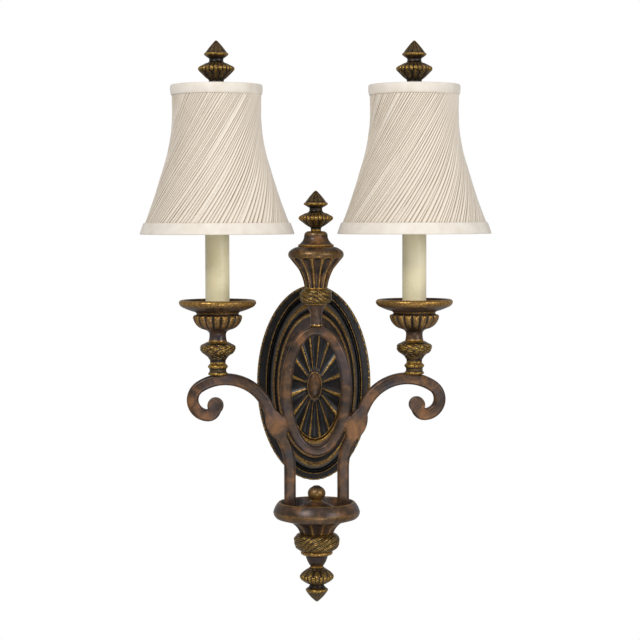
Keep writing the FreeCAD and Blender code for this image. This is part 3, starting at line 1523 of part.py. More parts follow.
doc.recompute()
faults = [thing.Label for thing in doc.Objects if set(thing.State) & {"Invalid", "Error"}]
for label in labels:
    shape = doc.getObjectsByLabel(label)[0].Shape
    if shape.isNull() or not shape.isValid() or not shape.Solids:
        faults.append(label)
if faults:
    raise RuntimeError("failed: " + ", ".join(faults))
os.makedirs("parts", exist_ok=True)
for label in labels:
    shape = doc.getObjectsByLabel(label)[0].Shape
    shape.exportStep(f"parts/{label}.step")
    print(label, len(shape.Solids), round(shape.Volume, 1))
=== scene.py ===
import bpy
import bmesh
import math
import numpy as np
from mathutils import Matrix, Vector


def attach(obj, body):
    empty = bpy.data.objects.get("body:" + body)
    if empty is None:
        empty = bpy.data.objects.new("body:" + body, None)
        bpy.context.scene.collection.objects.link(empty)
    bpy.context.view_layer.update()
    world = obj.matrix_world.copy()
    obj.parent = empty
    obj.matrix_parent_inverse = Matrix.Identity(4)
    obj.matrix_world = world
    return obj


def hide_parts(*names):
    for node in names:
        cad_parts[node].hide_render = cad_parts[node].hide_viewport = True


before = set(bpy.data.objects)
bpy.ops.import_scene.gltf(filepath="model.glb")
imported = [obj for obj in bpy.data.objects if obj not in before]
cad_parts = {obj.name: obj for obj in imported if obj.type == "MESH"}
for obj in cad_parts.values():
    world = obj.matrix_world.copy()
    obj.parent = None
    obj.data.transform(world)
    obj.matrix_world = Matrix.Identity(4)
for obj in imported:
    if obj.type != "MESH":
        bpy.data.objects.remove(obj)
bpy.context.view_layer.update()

# Double arm wall sconce. Metres, +Z up, +X to the right seen from the room, the wall at y = 0.

scene = bpy.context.scene
mm = 0.001
lightX = 0.098  # from the middle to the axis of each light
lightY = -0.100  # the plane of the arms
sides = {"left": -1, "right": 1}
weld = 0.002 * mm  # points closer than this are one


# the colours below are written as sRGB, and Blender wants them linear
def hexColor(code):
    channels = [int(code[start:start + 2], 16) / 255 for start in (1, 3, 5)]
    return [c / 12.92 if c <= 0.04045 else ((c + 0.055) / 1.055) ** 2.4 for c in channels] + [1.0]


def addNode(tree, kind, values=None, links=None, stops=None, **settings):
    node = tree.nodes.new(kind)
    for name, value in settings.items():
        setattr(node, name, value)
    for socket, value in (values or {}).items():
        node.inputs[socket].default_value = value
    for socket, source in (links or {}).items():
        tree.links.new(source, node.inputs[socket])
    if stops:
        ramp = node.color_ramp
        for _ in stops[2:]:
            ramp.elements.new(1.0)
        for element, (place, color) in zip(ramp.elements, stops):
            element.position = place
            element.color = color
    return node


def newMaterial(name, **values):
    material = bpy.data.materials.new(name)
    material.use_nodes = True
    tree = material.node_tree
    tree.nodes.clear()
    shader = addNode(tree, "ShaderNodeBsdfPrincipled", values)
    addNode(tree, "ShaderNodeOutputMaterial", links={"Surface": shader.outputs[0]})
    return material, tree, shader


# camera: a little left of the middle and just above the shades' hems, looking slightly down
cameraLook = {
    "place": (-0.0517, -1.990, 0.1714),
    "yaw": math.radians(1.684),
    "pitch": math.radians(-3.04),
    "roll": math.radians(-0.15),
    "lens": 106.9,
}
cameraData = bpy.data.cameras.new("camera")
cameraData.lens = cameraLook["lens"]
cameraData.sensor_width = 36
camera = bpy.data.objects.new("camera", cameraData)
scene.collection.objects.link(camera)
camera.matrix_world = (
    Matrix.Translation(cameraLook["place"])
    @ Matrix.Rotation(-cameraLook["yaw"], 4, "Z")
    @ Matrix.Rotation(math.pi / 2 + cameraLook["pitch"], 4, "X")
    @ Matrix.Rotation(cameraLook["roll"], 4, "Z")
)
scene.camera = camera
print("camera set")


# Cast zinc, painted and rubbed: a mottled walnut brown with clouds of painted grey-blue sheen, gold
# rubbed on whatever stands proud and a dark wash left in the hollows, which also serves as painted
# shade. Semi-gloss lacquer over it.
def rubbedFinish(name, look):
    material, tree, shader = newMaterial(name)
    where = addNode(tree, "ShaderNodeTexCoord").outputs["Object"]
    relief = addNode(tree, "ShaderNodeAttribute", attribute_name="relief").outputs["Fac"]
    patches = addNode(
        tree, "ShaderNodeTexNoise",
        {"Scale": 1 / look["patch"], "Detail": 6.0, "Roughness": 0.62, "Distortion": 0.5},
        {"Vector": where},
    )
    tone = addNode(
        tree, "ShaderNodeValToRGB", links={0: patches.outputs["Fac"]},
        stops=[(0.34, hexColor(look["dark"])), (0.52, hexColor(look["middle"])),
               (0.70, hexColor(look["light"]))],
    )
    # the painted sheen lies in larger clouds
    clouds = addNode(
        tree, "ShaderNodeTexNoise", {"Scale": 0.42 / look["patch"], "Detail": 3.0},
        {"Vector": where},
    )
    paintedSheenMask = addNode(
        tree, "ShaderNodeMapRange", {1: 0.50, 2: 0.72, 4: look["paintedSheenAmount"]},
        {0: clouds.outputs["Fac"]},
    )
    withPaintedSheen = addNode(
        tree, "ShaderNodeMix", {7: hexColor(look["paintedSheen"])},
        {0: paintedSheenMask.outputs[0], 6: tone.outputs[0]}, data_type="RGBA",
    )
    # dark wash in the hollows, which also serves as painted shade there, from a depth of a few
    # hundredths of a millimetre
    washAndShadeMask = addNode(
        tree, "ShaderNodeMapRange", {1: -look["washAndShadeFrom"], 2: -look["washAndShadeTo"]}, {0: relief}
    )
    washedAndShaded = addNode(
        tree, "ShaderNodeMix", {7: hexColor(look["washAndShade"])},
        {0: washAndShadeMask.outputs[0], 6: withPaintedSheen.outputs[2]}, data_type="RGBA",
    )
    # gold on what stands proud, worn through in spots of about 1.6 mm
    goldMask = addNode(
        tree, "ShaderNodeMapRange", {1: look["goldFrom"], 2: look["goldTo"]}, {0: relief}
    )
    wear = addNode(
        tree, "ShaderNodeTexNoise", {"Scale": 620.0, "Detail": 4.0, "Roughness": 0.6},
        {"Vector": where},
    )
    wearMask = addNode(
        tree, "ShaderNodeMapRange", {1: 0.36, 2: 0.56, 3: look["goldWorn"], 4: look["goldFull"]},
        {0: wear.outputs["Fac"]},
    )
    goldShare = addNode(
        tree, "ShaderNodeMath", links={0: goldMask.outputs[0], 1: wearMask.outputs[0]},
        operation="MULTIPLY",
    )
    goldTone = addNode(
        tree, "ShaderNodeValToRGB", links={0: wear.outputs["Fac"]},
        stops=[(0.40, hexColor(look["goldDark"])), (0.66, hexColor(look["gold"]))],
    )
    finish = addNode(
        tree, "ShaderNodeMix",
        links={0: goldShare.outputs[0], 6: washedAndShaded.outputs[2], 7: goldTone.outputs[0]},
        data_type="RGBA",
    )
    tree.links.new(finish.outputs[2], shader.inputs["Base Color"])
    metal = addNode(
        tree, "ShaderNodeMapRange", {3: look["metallic"], 4: 0.78}, {0: goldShare.outputs[0]}
    )
    tree.links.new(metal.outputs[0], shader.inputs["Metallic"])
    gloss = addNode(
        tree, "ShaderNodeMapRange",
        {1: 0.3, 2: 0.7, 3: look["roughness"] - 0.06, 4: look["roughness"] + 0.08},
        {0: patches.outputs["Fac"]},
    )
    tree.links.new(gloss.outputs[0], shader.inputs["Roughness"])
    # the casting's skin: soft dimples of about 1.5 mm under the paint, with finer ones in them
    dimples = addNode(
        tree, "ShaderNodeTexNoise", {"Scale": 640.0, "Detail": 3.0, "Roughness": 0.55},
        {"Vector": where},
    )
    skin = addNode(
        tree, "ShaderNodeBump", {"Strength": look["skin"], "Distance": 0.00035},
        {"Height": dimples.outputs["Fac"]},
    )
    tree.links.new(skin.outputs[0], shader.inputs["Normal"])
    return material


# walnut brown of the arms, ring, vase, cup and dishes
# the grey-blue tone is painted sheen, and the near-black tone in the hollows is wash and painted
# shade
brownLook = {
    "patch": 0.013, "dark": "#1c1512", "middle": "#4a3421", "light": "#855a33",
    "paintedSheen": "#4b4247", "paintedSheenAmount": 0.5, "washAndShade": "#0f0c0b", "washAndShadeFrom": 0.03, "washAndShadeTo": 0.22,
    "gold": "#c39a4e", "goldDark": "#8a6430", "goldFrom": 0.07, "goldTo": 0.22,
    "goldWorn": 0.35, "goldFull": 1.0, "metallic": 0.3, "roughness": 0.34, "skin": 0.28,
}
brown = rubbedFinish("zinc_casting_rubbed_walnut", brownLook)
# the arms' flat bars show almost no gold, and their bevels stay dark
armBrown = rubbedFinish("zinc_bar_rubbed_walnut", dict(
    brownLook, goldFrom=0.5, goldTo=1.2, washAndShadeFrom=0.12, washAndShadeTo=0.6, patch=0.016,
))
# leaf work, ribs and beads, rubbed until nearly all gold
gilt = rubbedFinish("zinc_leafwork_rubbed_gold", dict(
    brownLook, dark="#17110d", middle="#2f2214", light="#5e451f", gold="#c9a24e",
    goldDark="#7d5c26", goldFrom=0.0, goldTo=0.13, washAndShadeFrom=0.02, washAndShadeTo=0.14, metallic=0.42,
    paintedSheenAmount=0.2, roughness=0.34, goldWorn=0.3,
))
# the plate's outer band, cove and torus are nearly black, with clouds of painted blue-grey sheen
charcoal = rubbedFinish("zinc_plate_band_black_wash", dict(
    brownLook, dark="#121111", middle="#1f1c1a", light="#3a2a1c", paintedSheen="#33373d",
    paintedSheenAmount=0.5, washAndShade="#0f0e0e", goldFrom=0.16, goldTo=0.45, patch=0.009, roughness=0.38,
))
black = rubbedFinish("zinc_plate_torus_black_gloss", dict(
    brownLook, dark="#121317", middle="#1b1c21", light="#262529", paintedSheen="#343a42",
    paintedSheenAmount=0.5, washAndShade="#0b0b0d", goldFrom=0.16, goldTo=0.4, roughness=0.30, skin=0.15,
))
# the rosette's flutes are nearly black, with clouds of painted blue-grey sheen and gold on their
# ridges
fluted = rubbedFinish("zinc_flutes_black_wash_rubbed_gold", dict(
    brownLook, dark="#100e0f", middle="#1c1817", light="#35281e", paintedSheen="#3c4048",
    paintedSheenAmount=0.6, goldFrom=0.05, goldTo=0.16, roughness=0.30,
))
print("rubbed finishes made")


# dense points along an outline of (radius, height, bow) corners in mm: a bow of 0 runs
# straight to the next corner, 1 is a half circle outwards and -1 a half circle inwards
def traceOutline(corners, pitch, passes=2):
    points = []
    for (radius, height, bow), (nextRadius, nextHeight, _) in zip(corners, corners[1:]):
        run = math.hypot(nextRadius - radius, nextHeight - height)
        count = max(1, round(run / pitch))
        outR = (nextHeight - height) / run
        outH = (radius - nextRadius) / run
        half = 2 * math.atan(abs(bow))
        for step in range(count):
            share = step / count
            bulge = 0.0
            if bow:
                turn = half * (2 * share - 1)
                share = 0.5 + math.sin(turn) / (2 * math.sin(half))
                bulge = (math.cos(turn) - math.cos(half)) * run / (2 * math.sin(half))
                bulge = math.copysign(bulge, bow)
            points.append((
                radius + (nextRadius - radius) * share + outR * bulge,
                height + (nextHeight - height) * share + outH * bulge,
            ))
    points.append(corners[-1][:2])
    points = np.array(points)
    # the cast edges are a little soft
    for _ in range(passes):
        points[1:-1] = points[1:-1] * 0.5 + (points[:-2] + points[2:]) * 0.25
    return points


def readPoints(mesh):
    points = np.empty(len(mesh.vertices) * 3)
    mesh.vertices.foreach_get("co", points)
    return points.reshape(-1, 3)


def writePoints(mesh, points):
    mesh.vertices.foreach_set("co", points.ravel())
    mesh.update()


# each point moves towards the middle of its neighbours, some number of times
def smoothPoints(mesh, points, passes, share=0.5):
    edges = np.empty(len(mesh.edges) * 2, dtype=np.int64)
    mesh.edges.foreach_get("vertices", edges)
    first, second = edges.reshape(-1, 2).T
    count = len(points)
    neighbours = np.bincount(first, minlength=count) + np.bincount(second, minlength=count)
    neighbours = np.maximum(neighbours, 1)
    for _ in range(passes):
        middle = np.stack([
            (np.bincount(first, points[second, axis], count)
             + np.bincount(second, points[first, axis], count)) / neighbours
            for axis in range(3)
        ], axis=1)
        points = points + (middle - points) * share
    return points


# relief is how far a point stands above its surroundings, in mm, for the rubbed finishes
def markRelief(mesh, passes=14):
    points = readPoints(mesh)
    normals = np.empty(len(points) * 3)
    mesh.vertex_normals.foreach_get("vector", normals)
    gap = points - smoothPoints(mesh, points, passes)
    relief = (gap * normals.reshape(-1, 3)).sum(axis=1) / mm
    field = mesh.attributes.new("relief", "FLOAT", "POINT")
    field.data.foreach_set("value", relief.astype(np.float32))


def addPiece(name, mesh, materials, body="fixture", replaces=(), slot="bronze"):
    for material in materials:
        mesh.materials.append(material)
    mesh.polygons.foreach_set("use_smooth", [True] * len(mesh.polygons))
    piece = bpy.data.objects.new(name, mesh)
    scene.collection.objects.link(piece)
    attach(piece, body)
    if replaces:
        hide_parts(*replaces)
    return piece


# a surface turned about the Z axis from an outline of (radius, height) in metres
def spinOutline(name, outline, steps, closed=False):
    form = bmesh.new()
    verts = [form.verts.new((radius, 0, height)) for radius, height in outline]
    ends = verts[1:] + verts[:1] if closed else verts[1:]
    for pair in zip(verts, ends):
        form.edges.new(pair)
    mesh = bpy.data.meshes.new("outline")
    form.to_mesh(mesh)
    form.free()
    lathe = bpy.data.objects.new("lathe", mesh)
    scene.collection.objects.link(lathe)
    turn = lathe.modifiers.new("turn", "SCREW")
    turn.steps = turn.render_steps = steps
    turn.use_merge_vertices = True
    turn.merge_threshold = weld
    shaped = bpy.data.meshes.new_from_object(
        lathe.evaluated_get(bpy.context.evaluated_depsgraph_get())
    )
    bpy.data.objects.remove(lathe)
    shaped.name = name
    form = bmesh.new()
    form.from_mesh(shaped)
    bmesh.ops.recalc_face_normals(form, faces=form.faces)
    form.to_mesh(shaped)
    form.free()
    return shaped


# a piece turned about an upright axis, then carved by a rule of angle, height and radius
def turnPiece(name, corners, place, steps, material, carve=None, hangs=False, pitch=0.45,
              passes=2, ring=False, **dress):
    outline = traceOutline(corners, pitch, passes)
    if ring:
        outline = outline[:-1]
    else:
        outline = np.vstack([(0, outline[0][1]), outline, (0, outline[-1][1])])
    outline = outline * mm
    if hangs:
        outline[:, 1] *= -1
    mesh = spinOutline(name, outline, steps, closed=ring)
    points = readPoints(mesh)
    if carve:
        radius = np.hypot(points[:, 0], points[:, 1])
        angle = np.arctan2(points[:, 0], -points[:, 1])  # 0 faces the room
        height = np.abs(points[:, 2]) / mm
        depth = carve(angle, height, radius / mm) * mm
        shrink = 1 - np.minimum(depth, radius) / np.maximum(radius, 1e-6)
        points[:, 0] *= shrink
        points[:, 1] *= shrink
    writePoints(mesh, points + np.array(place))
    markRelief(mesh)
    return addPiece(name, mesh, [material], **dress)


# 0 in the middle of each repeat and 1 at its edges
def acrossRepeat(angle, count, phase=0.0):
    return np.abs((angle * count / math.tau + phase) % 1.0 * 2 - 1)


def fadeBetween(value, start, end):
    share = np.clip((value - start) / (end - start), 0, 1)
    return share * share * (3 - 2 * share)


# hollow flutes between thin ridges, with arched tops
def fluteRule(count, depth, low, high, arch, ridge=0.10, phase=0.5, reference=27.0):
    def carve(angle, height, radius):
        across = np.minimum(acrossRepeat(angle, count, phase) / (1 - ridge), 1)
        hollow = 1 - across ** 2
        top = high - arch * (1 - np.sqrt(np.clip(1 - across ** 2, 0, 1)))
        ends = fadeBetween(top - height, 0, 1.4) * fadeBetween(height - low, 0, 1.2)
        return depth * hollow * ends * (0.35 + 0.65 * radius / reference)
    return carve


# round lobes side by side, with dark cuts between them
def lobeRule(count, depth, low, high, phase=0.5, power=2.6, soft=1.2):
    def carve(angle, height, radius):
        cut = acrossRepeat(angle, count, phase) ** power
        return (depth * cut * fadeBetween(height, low - soft, low)
                * fadeBetween(-height, -high - soft, -high))
    return carve


# a wreath of long leaves laid aslant, each with a rib and small veins
def wreathRule(leaves, depth, tall, lean, seed):
    picks = np.random.default_rng(seed)
    phases = picks.uniform(0, math.tau, 6)

    def carve(angle, height, radius):
        drift = 0.22 * np.sin(3 * angle + phases[0]) + 0.13 * np.sin(7 * angle + phases[1])
        phase = angle * leaves / math.tau + lean * height / tall + drift
        leaf = np.abs(phase % 1.0 * 2 - 1) ** 1.5
        vein = np.abs(phase * 3 % 1.0 * 2 - 1) ** 2
        tips = 0.5 + 0.5 * np.sin(phase * math.tau / 2 + 5 * height / tall + phases[2])
        ends = np.clip(np.sin(np.clip(height / tall, 0, 1) * math.pi), 0, 1) ** 0.5
        return depth * ends * (0.55 * leaf + 0.25 * vein + 0.3 * tips * (1 - leaf))
    return carve


def addRules(*rules):
    return lambda angle, height, radius: sum(rule(angle, height, radius) for rule in rules)


# middle ornaments, from the ring upwards
stem = {
    "corners": [(6.4, 0, 0), (6.4, 1.2, 0), (5.8, 2.0, 0), (5.8, 11.0, -0.12), (9.9, 21.2, 0),
                (10.7, 21.6, 0.4), (10.7, 22.4, 0)],
    "foot": 65.0,
}
turnPiece("center_stem", stem["corners"], (0, lightY, stem["foot"] * mm), 96, brown,
          replaces=["center_stem"])

topWreath = {
    "corners": [(11.6, 0, 0.45), (16.2, 7.3, 0.45), (11.6, 14.6, 0)],
    "foot": 87.4, "tall": 14.6, "leaves": 11, "depth": 2.1, "lean": 3.4, "seed": 5,
}
turnPiece("top_wreath", topWreath["corners"], (0, lightY, topWreath["foot"] * mm), 264, gilt,
          wreathRule(topWreath["leaves"], topWreath["depth"], topWreath["tall"],
                     topWreath["lean"], topWreath["seed"]),
          pitch=0.3, replaces=["top_wreath"], slot="gilt")

vase = {
    "corners": [(11.2, 0, -0.10), (17.6, 20, 0), (26.6, 31.2, 0.25), (27.4, 32.6, 0.35),
                (25.2, 38.6, 0.12), (18.4, 41.9, 0)],
    "foot": 102.0, "flutes": 14, "depth": 2.4, "fluteFoot": 0.6, "fluteTop": 31.6, "arch": 3.4,
    "phase": 0.44,
}
turnPiece("center_vase", vase["corners"], (0, lightY, vase["foot"] * mm), 224, brown,
          fluteRule(vase["flutes"], vase["depth"], vase["fluteFoot"], vase["fluteTop"],
                    vase["arch"], phase=vase["phase"]),
          replaces=["center_vase"])

cap = {
    "corners": [(17.4, 0, 0.7), (17.2, 2.2, 0), (16.4, 2.6, -0.15), (11.9, 8.8, 0),
                (11.9, 9.6, 0), (11.5, 12.6, 0.3), (7.0, 15.5, 0)],
    "foot": 144.0,
}
turnPiece("vase_cap", cap["corners"], (0, lightY, cap["foot"] * mm), 120, brown,
          replaces=["vase_cap"])

# the finials share one pattern: a ribbed knop, a waist, and a cone of leaf ribs above a ring
def finialRule(knopLow, knop, knopHigh, ring, tip, phase=0.5):
    return addRules(
        lobeRule(24, 1.1, knop - 0.6, knopHigh, phase, power=2.0),
        lobeRule(12, 1.2, knopLow, knop - 1.6, phase, power=1.6),
        lobeRule(12, 0.9, ring + 2.6, tip - 2.0, phase, power=1.8, soft=2.0),
    )


topFinial = {
    "corners": [(5.2, 0, 0), (5.2, 3.2, 0), (10.6, 6.5, 0), (16.8, 11.4, 0.5), (15.6, 15.2, 0),
                (10.4, 17.9, -0.3), (6.4, 20.5, 0), (6.4, 23.0, 0), (11.5, 25.9, 0.8),
                (10.6, 28.4, 0.05), (0.8, 40.2, 0)],
    "foot": 159.5,
}
turnPiece("top_finial", topFinial["corners"], (0, lightY, topFinial["foot"] * mm), 240, gilt,
          finialRule(knopLow=5.5, knop=11.4, knopHigh=16.6, ring=26.4, tip=40.2), pitch=0.4,
          replaces=["top_finial"])

# bottom ornaments, from the ring of the cup downwards
cup = {
    "corners": [(36.2, 0.3, 0), (37.8, 0, 0.15), (43.4, 10.2, 0.25), (39.6, 16.6, 0),
                (33.4, 18.4, -0.32), (17.2, 31.8, 0), (12, 31.8, 0), (12, 10.6, 0),
                (33.0, 10.5, 0), (35.8, 0.6, 0), (36.2, 0.3, 0)],
    "top": -111.0, "flutes": 12, "depth": 2.6, "phase": 0.52, "hollowShare": 0.9,
    "fluteStart": 16.9, "arch": 3.2, "innerWall": 14, "widest": 33,
}


def cupRule(angle, height, radius):
    across = np.minimum(acrossRepeat(angle, cup["flutes"], cup["phase"]) / cup["hollowShare"], 1)
    hollow = 1 - across ** 2
    start = cup["fluteStart"] + cup["arch"] * (1 - np.sqrt(np.clip(1 - across ** 2, 0, 1)))
    ends = fadeBetween(height, start, start + 1.5) * (radius > cup["innerWall"])
    return cup["depth"] * hollow * ends * (0.35 + 0.65 * radius / cup["widest"])


turnPiece("bottom_cup", cup["corners"], (0, lightY, cup["top"] * mm), 240, brown, cupRule,
          hangs=True, ring=True, replaces=["bottom_cup"])

lid = {
    "corners": [(18.0, 0, 0.5), (17.6, 2.4, 0), (17.0, 2.8, 0), (14.6, 3.4, 0), (14.2, 4.0, -0.15),
                (5.2, 9.0, 0)],
    "foot": -118.0,
}
turnPiece("cup_lid", lid["corners"], (0, lightY, lid["foot"] * mm), 120, brown,
          replaces=["cup_lid"])

lidBall = {"corners": [(4.6, 0, 0.7), (4.4, 12.8, 0.35), (1.0, 14.0, 0)], "foot": -109.0}
turnPiece("lid_ball", lidBall["corners"], (0, lightY, lidBall["foot"] * mm), 96, brown,
          replaces=["lid_ball"])

lowWreath = {
    "corners": [(17.0, 0, 0.45), (23.6, 8.5, 0.35), (15.4, 17.5, 0)],
    "top": -143.0, "tall": 17.5, "leaves": 13, "depth": 2.6, "lean": 3.0, "seed": 11,
}
turnPiece("bottom_wreath", lowWreath["corners"], (0, lightY, lowWreath["top"] * mm), 312, gilt,
          wreathRule(lowWreath["leaves"], lowWreath["depth"], lowWreath["tall"],
                     lowWreath["lean"], lowWreath["seed"]),
          hangs=True, pitch=0.35, replaces=["bottom_wreath"], slot="gilt")

reel = {
    "corners": [(15.2, 0, 0.5), (15.2, 3.6, 0), (11.8, 4.6, 0), (11.2, 5.2, 0.1), (10.4, 7.6, 0.1),
                (6.3, 15.5, 0)],
    "top": -160.5,
}
turnPiece("bottom_reel", reel["corners"], (0, lightY, reel["top"] * mm), 120, brown,
          hangs=True, replaces=["bottom_reel"])

drop = {
    "corners": [(6.3, 0, 0), (7.6, 1.6, 0), (12.4, 4.6, 0.1), (16.8, 9.0, 0.4), (15.0, 14.0, 0.1),
                (7.0, 18.4, -0.2), (10.4, 22.6, 0.6), (10.9, 25.0, 0.1), (0.8, 35.9, 0)],
    "top": -176.0,
}
turnPiece("bottom_finial", drop["corners"], (0, lightY, drop["top"] * mm), 240, gilt,
          addRules(lobeRule(12, 1.2, 3.6, 8.4, 0.5, power=1.6), lobeRule(24, 1.1, 9.2, 14.2),
                   lobeRule(12, 0.6, 27.5, 34.0, soft=2.0)),
          hangs=True, pitch=0.4, replaces=["bottom_finial"])
print("middle ornaments turned")

# the two lights, from the arm upwards
collar = {
    "corners": [(9.2, 0, 0.5), (9.4, 2.2, 0), (8.5, 2.9, -0.1), (8.5, 6.1, 0), (9.3, 7.0, 0.5),
                (9.4, 9.7, 0), (8.0, 11.0, 0)],
    "foot": 16.7,
}
knop = {
    "corners": [(7.8, 0, 0), (7.8, 3.4, -0.15), (15.2, 10.2, 0.2), (18.2, 15.6, 0.4),
                (14.8, 19.8, 0), (10.4, 22.0, 0)],
    "foot": 27.7,
}
candleCup = {
    "corners": [(9.0, 0, 0.3), (9.0, 1.4, -0.1), (8.4, 8.8, -0.2), (13.2, 12.2, 0.3),
                (24.6, 23.6, 0.5), (23.4, 26.4, 0), (21.6, 26.9, -0.2), (20.8, 28.2, 0),
                (22.0, 29.4, 0)],
    "foot": 49.7, "lobes": 18, "depth": 2.2, "lobeFoot": 13.6, "lobeTop": 25.2,
}
dish = {
    "corners": [(21.0, 0, 0.06), (34.6, 4.9, 0.2), (38.2, 8.4, 0.5), (36.4, 12.2, 0.35),
                (34.0, 11.8, -0.1), (30.0, 7.2, -0.1), (26.0, 5.1, 0), (4.4, 5.0, 0),
                (4.4, 0.0, 0), (21.0, 0, 0)],
    "foot": 79.1,
}


def knopRule(angle, height, radius):
    # leaf scrolls too fine to read singly in the photograph: drawn as lobed leaves with curls
    leaf = np.abs(np.sin(5 * angle + 0.9 * np.sin(height * 0.7)))
    curl = np.sin(11 * angle + 2.4 * np.sin(height * 1.3)) * np.sin(height * 1.55 + 4 * angle)
    ends = fadeBetween(height, 5.0, 7.5) * fadeBetween(-height, -21.6, -19.8)
    return (0.9 * (1 - leaf ** 0.7) + 0.42 * (1 + curl)) * ends


for side, sign in sides.items():
    x = lightX * sign
    turnPiece(f"{side}_column_collar", collar["corners"], (x, lightY, collar["foot"] * mm), 96,
              gilt, pitch=0.35, replaces=[f"{side}_column_collar"], slot="gilt")
    turnPiece(f"{side}_column_knop", knop["corners"], (x, lightY, knop["foot"] * mm), 240, gilt,
              knopRule, pitch=0.4, replaces=[f"{side}_column_knop"], slot="gilt")
    turnPiece(f"{side}_candle_cup", candleCup["corners"], (x, lightY, candleCup["foot"] * mm),
              252, brown,
              lobeRule(candleCup["lobes"], candleCup["depth"], candleCup["lobeFoot"],
                       candleCup["lobeTop"], power=2.4, soft=1.6),
              pitch=0.42, replaces=[f"{side}_candle_cup"])
    turnPiece(f"{side}_bobeche", dish["corners"], (x, lightY, dish["foot"] * mm), 160, brown,
              pitch=0.5, ring=True, replaces=[f"{side}_bobeche"])
print("columns and dishes turned")

# finials on the shades, each riding its own body
sideFinial = {
    "corners": [(8.0, 0, 0.1), (8.0, 2.2, 0), (7.4, 2.8, 0), (7.4, 4.2, 0), (10.8, 6.8, 0),
                (17.6, 13.6, 0.5), (16.6, 17.6, 0), (10.0, 20.9, -0.3), (7.0, 22.8, 0),
                (7.0, 25.2, 0), (11.6, 28.5, 0.8), (10.8, 31.0, 0.05), (0.8, 43.1, 0)],
    "foot": 304.6,
}
for side, sign in sides.items():
    turnPiece(f"{side}_finial", sideFinial["corners"],
              (lightX * sign, lightY, sideFinial["foot"] * mm), 240, gilt,
              finialRule(knopLow=5.5, knop=13.6, knopHigh=19.4, ring=29.0, tip=43.1),
              pitch=0.42, body=f"{side}_finial",
              replaces=[f"{side}_finial"])

# The backplate: rings of (width, height, depth) in mm and the finish of the stretch up to the
# next ring. 0 is the black-washed band, 1 the black torus, 2 the brown face and slope.
plate = {
    "outside": [
        (119.0, 205.0, 0.0, 0), (119.0, 205.0, 4.4, 0), (119.0, 205.0, 5.8, 0),
        (118.2, 204.2, 7.0, 0), (116.6, 202.6, 7.6, 0), (115.0, 201.2, 7.4, 0),
        (102.8, 191.9, 9.4, 0), (101.4, 190.8, 9.8, 0), (100.6, 190.1, 11.4, 0),
        (99.6, 189.3, 12.3, 0), (98.4, 188.2, 11.8, 0), (97.6, 187.2, 10.6, 1),
        (95.6, 184.6, 10.2, 1), (93.4, 181.6, 11.2, 1), (92.0, 179.8, 13.6, 1),
        (91.4, 178.0, 18.0, 1), (89.8, 174.6, 22.6, 1), (87.0, 169.4, 26.2, 1),
        (83.6, 163.4, 27.8, 1), (80.8, 158.2, 27.4, 1), (79.6, 155.8, 26.8, 1),
        (78.8, 154.0, 27.6, 2), (77.4, 151.4, 32.0, 2), (76.0, 148.8, 36.2, 2),
        (75.2, 147.4, 37.7, 2), (74.4, 146.2, 38.0, 2), (73.6, 144.9, 37.2, 2),
        (72.6, 143.4, 36.9, 2), (60.0, 119.4, 37.3, 2), (58.0, 115.8, 37.2, 2),
        (56.8, 113.8, 36.4, 2), (56.2, 113.1, 33.4, 2), (52.0, 108.0, 33.0, 2),
        (20.0, 60.0, 33.0, 2),
    ],
    "inside": [
        (20.0, 60.0, 30.4, 0), (70.2, 142.2, 30.6, 0), (81.2, 161.2, 24.4, 0),
        (87.2, 175.2, 10.9, 0), (114.2, 200.2, 5.9, 0), (114.2, 200.2, 0.0, 0),
    ],
    "width": 119.0, "height": 205.0, "steps": 432,
    "beads": 72, "beadDepth": 0.9, "beadRise": 0.8, "meanRadius": 75.0,
}


# where along an oval of this size the points lie that divide its length evenly
def evenAngles(width, height, count):
    angle = np.linspace(0, math.tau, 2881)
    speed = np.hypot(width / 2 * np.sin(angle), height / 2 * np.cos(angle))
    length = np.concatenate([[0], np.cumsum((speed[1:] + speed[:-1]) / 2)])
    return np.interp(np.arange(count) / count * length[-1], length, angle)


# a stack of ovals: a round one is spun, then each of its rings is pressed to its own oval
def ovalPiece(name, rings, steps, materials, closed=True, shape=None, pitch=0.8, passes=1,
              evenOn=None, **dress):
    ringRows = []
    for ring, following in zip(rings, rings[1:] + rings[:1] if closed else rings[1:]):
        run = math.dist(
            (ring[0] / 2, ring[1] / 2, ring[2]), (following[0] / 2, following[1] / 2, following[2])
        )
        count = max(1, round(run / pitch))
        for step in range(count):
            share = step / count
            ringRows.append([ring[k] + (following[k] - ring[k]) * share for k in range(3)]
                            + [ring[3]])
    if not closed:
        ringRows.append(list(rings[-1]))
    rows = np.array(ringRows)
    for _ in range(passes):
        rows[1:-1, :3] = rows[1:-1, :3] * 0.5 + (rows[:-2, :3] + rows[2:, :3]) * 0.25
    # row n of the spun surface has a radius of n + 1 until it is pressed to its oval
    mesh = spinOutline(name, [(1.0 + index, 0) for index in range(len(rows))], steps, closed)
    points = readPoints(mesh)
    order = np.rint(np.hypot(points[:, 0], points[:, 1]) - 1).astype(int)
    angle = np.arctan2(points[:, 1], points[:, 0]) % math.tau
    if evenOn:
        angle = evenAngles(*evenOn, steps)[np.rint(angle / math.tau * steps).astype(int) % steps]
    writePoints(mesh, np.stack([
        rows[order, 0] / 2 * np.cos(angle) * mm,
        -rows[order, 2] * mm,
        rows[order, 1] / 2 * np.sin(angle) * mm,
    ], axis=1))
    form = bmesh.new()
    form.from_mesh(mesh)
    if not closed:
        rims = [edge for edge in form.edges if edge.is_boundary]
        bmesh.ops.holes_fill(form, edges=rims, sides=0)
    bmesh.ops.recalc_face_normals(form, faces=form.faces)
    form.to_mesh(mesh)
    form.free()
    if len(materials) > 1:
        for face in mesh.polygons:
            touched = order[list(face.vertices)]
            row = touched.min() if np.ptp(touched) == 1 else touched.max()
            face.material_index = int(rows[row, 3])
    if shape:
        writePoints(mesh, shape(readPoints(mesh)))
    markRelief(mesh)
    return addPiece(name, mesh, materials, **dress)


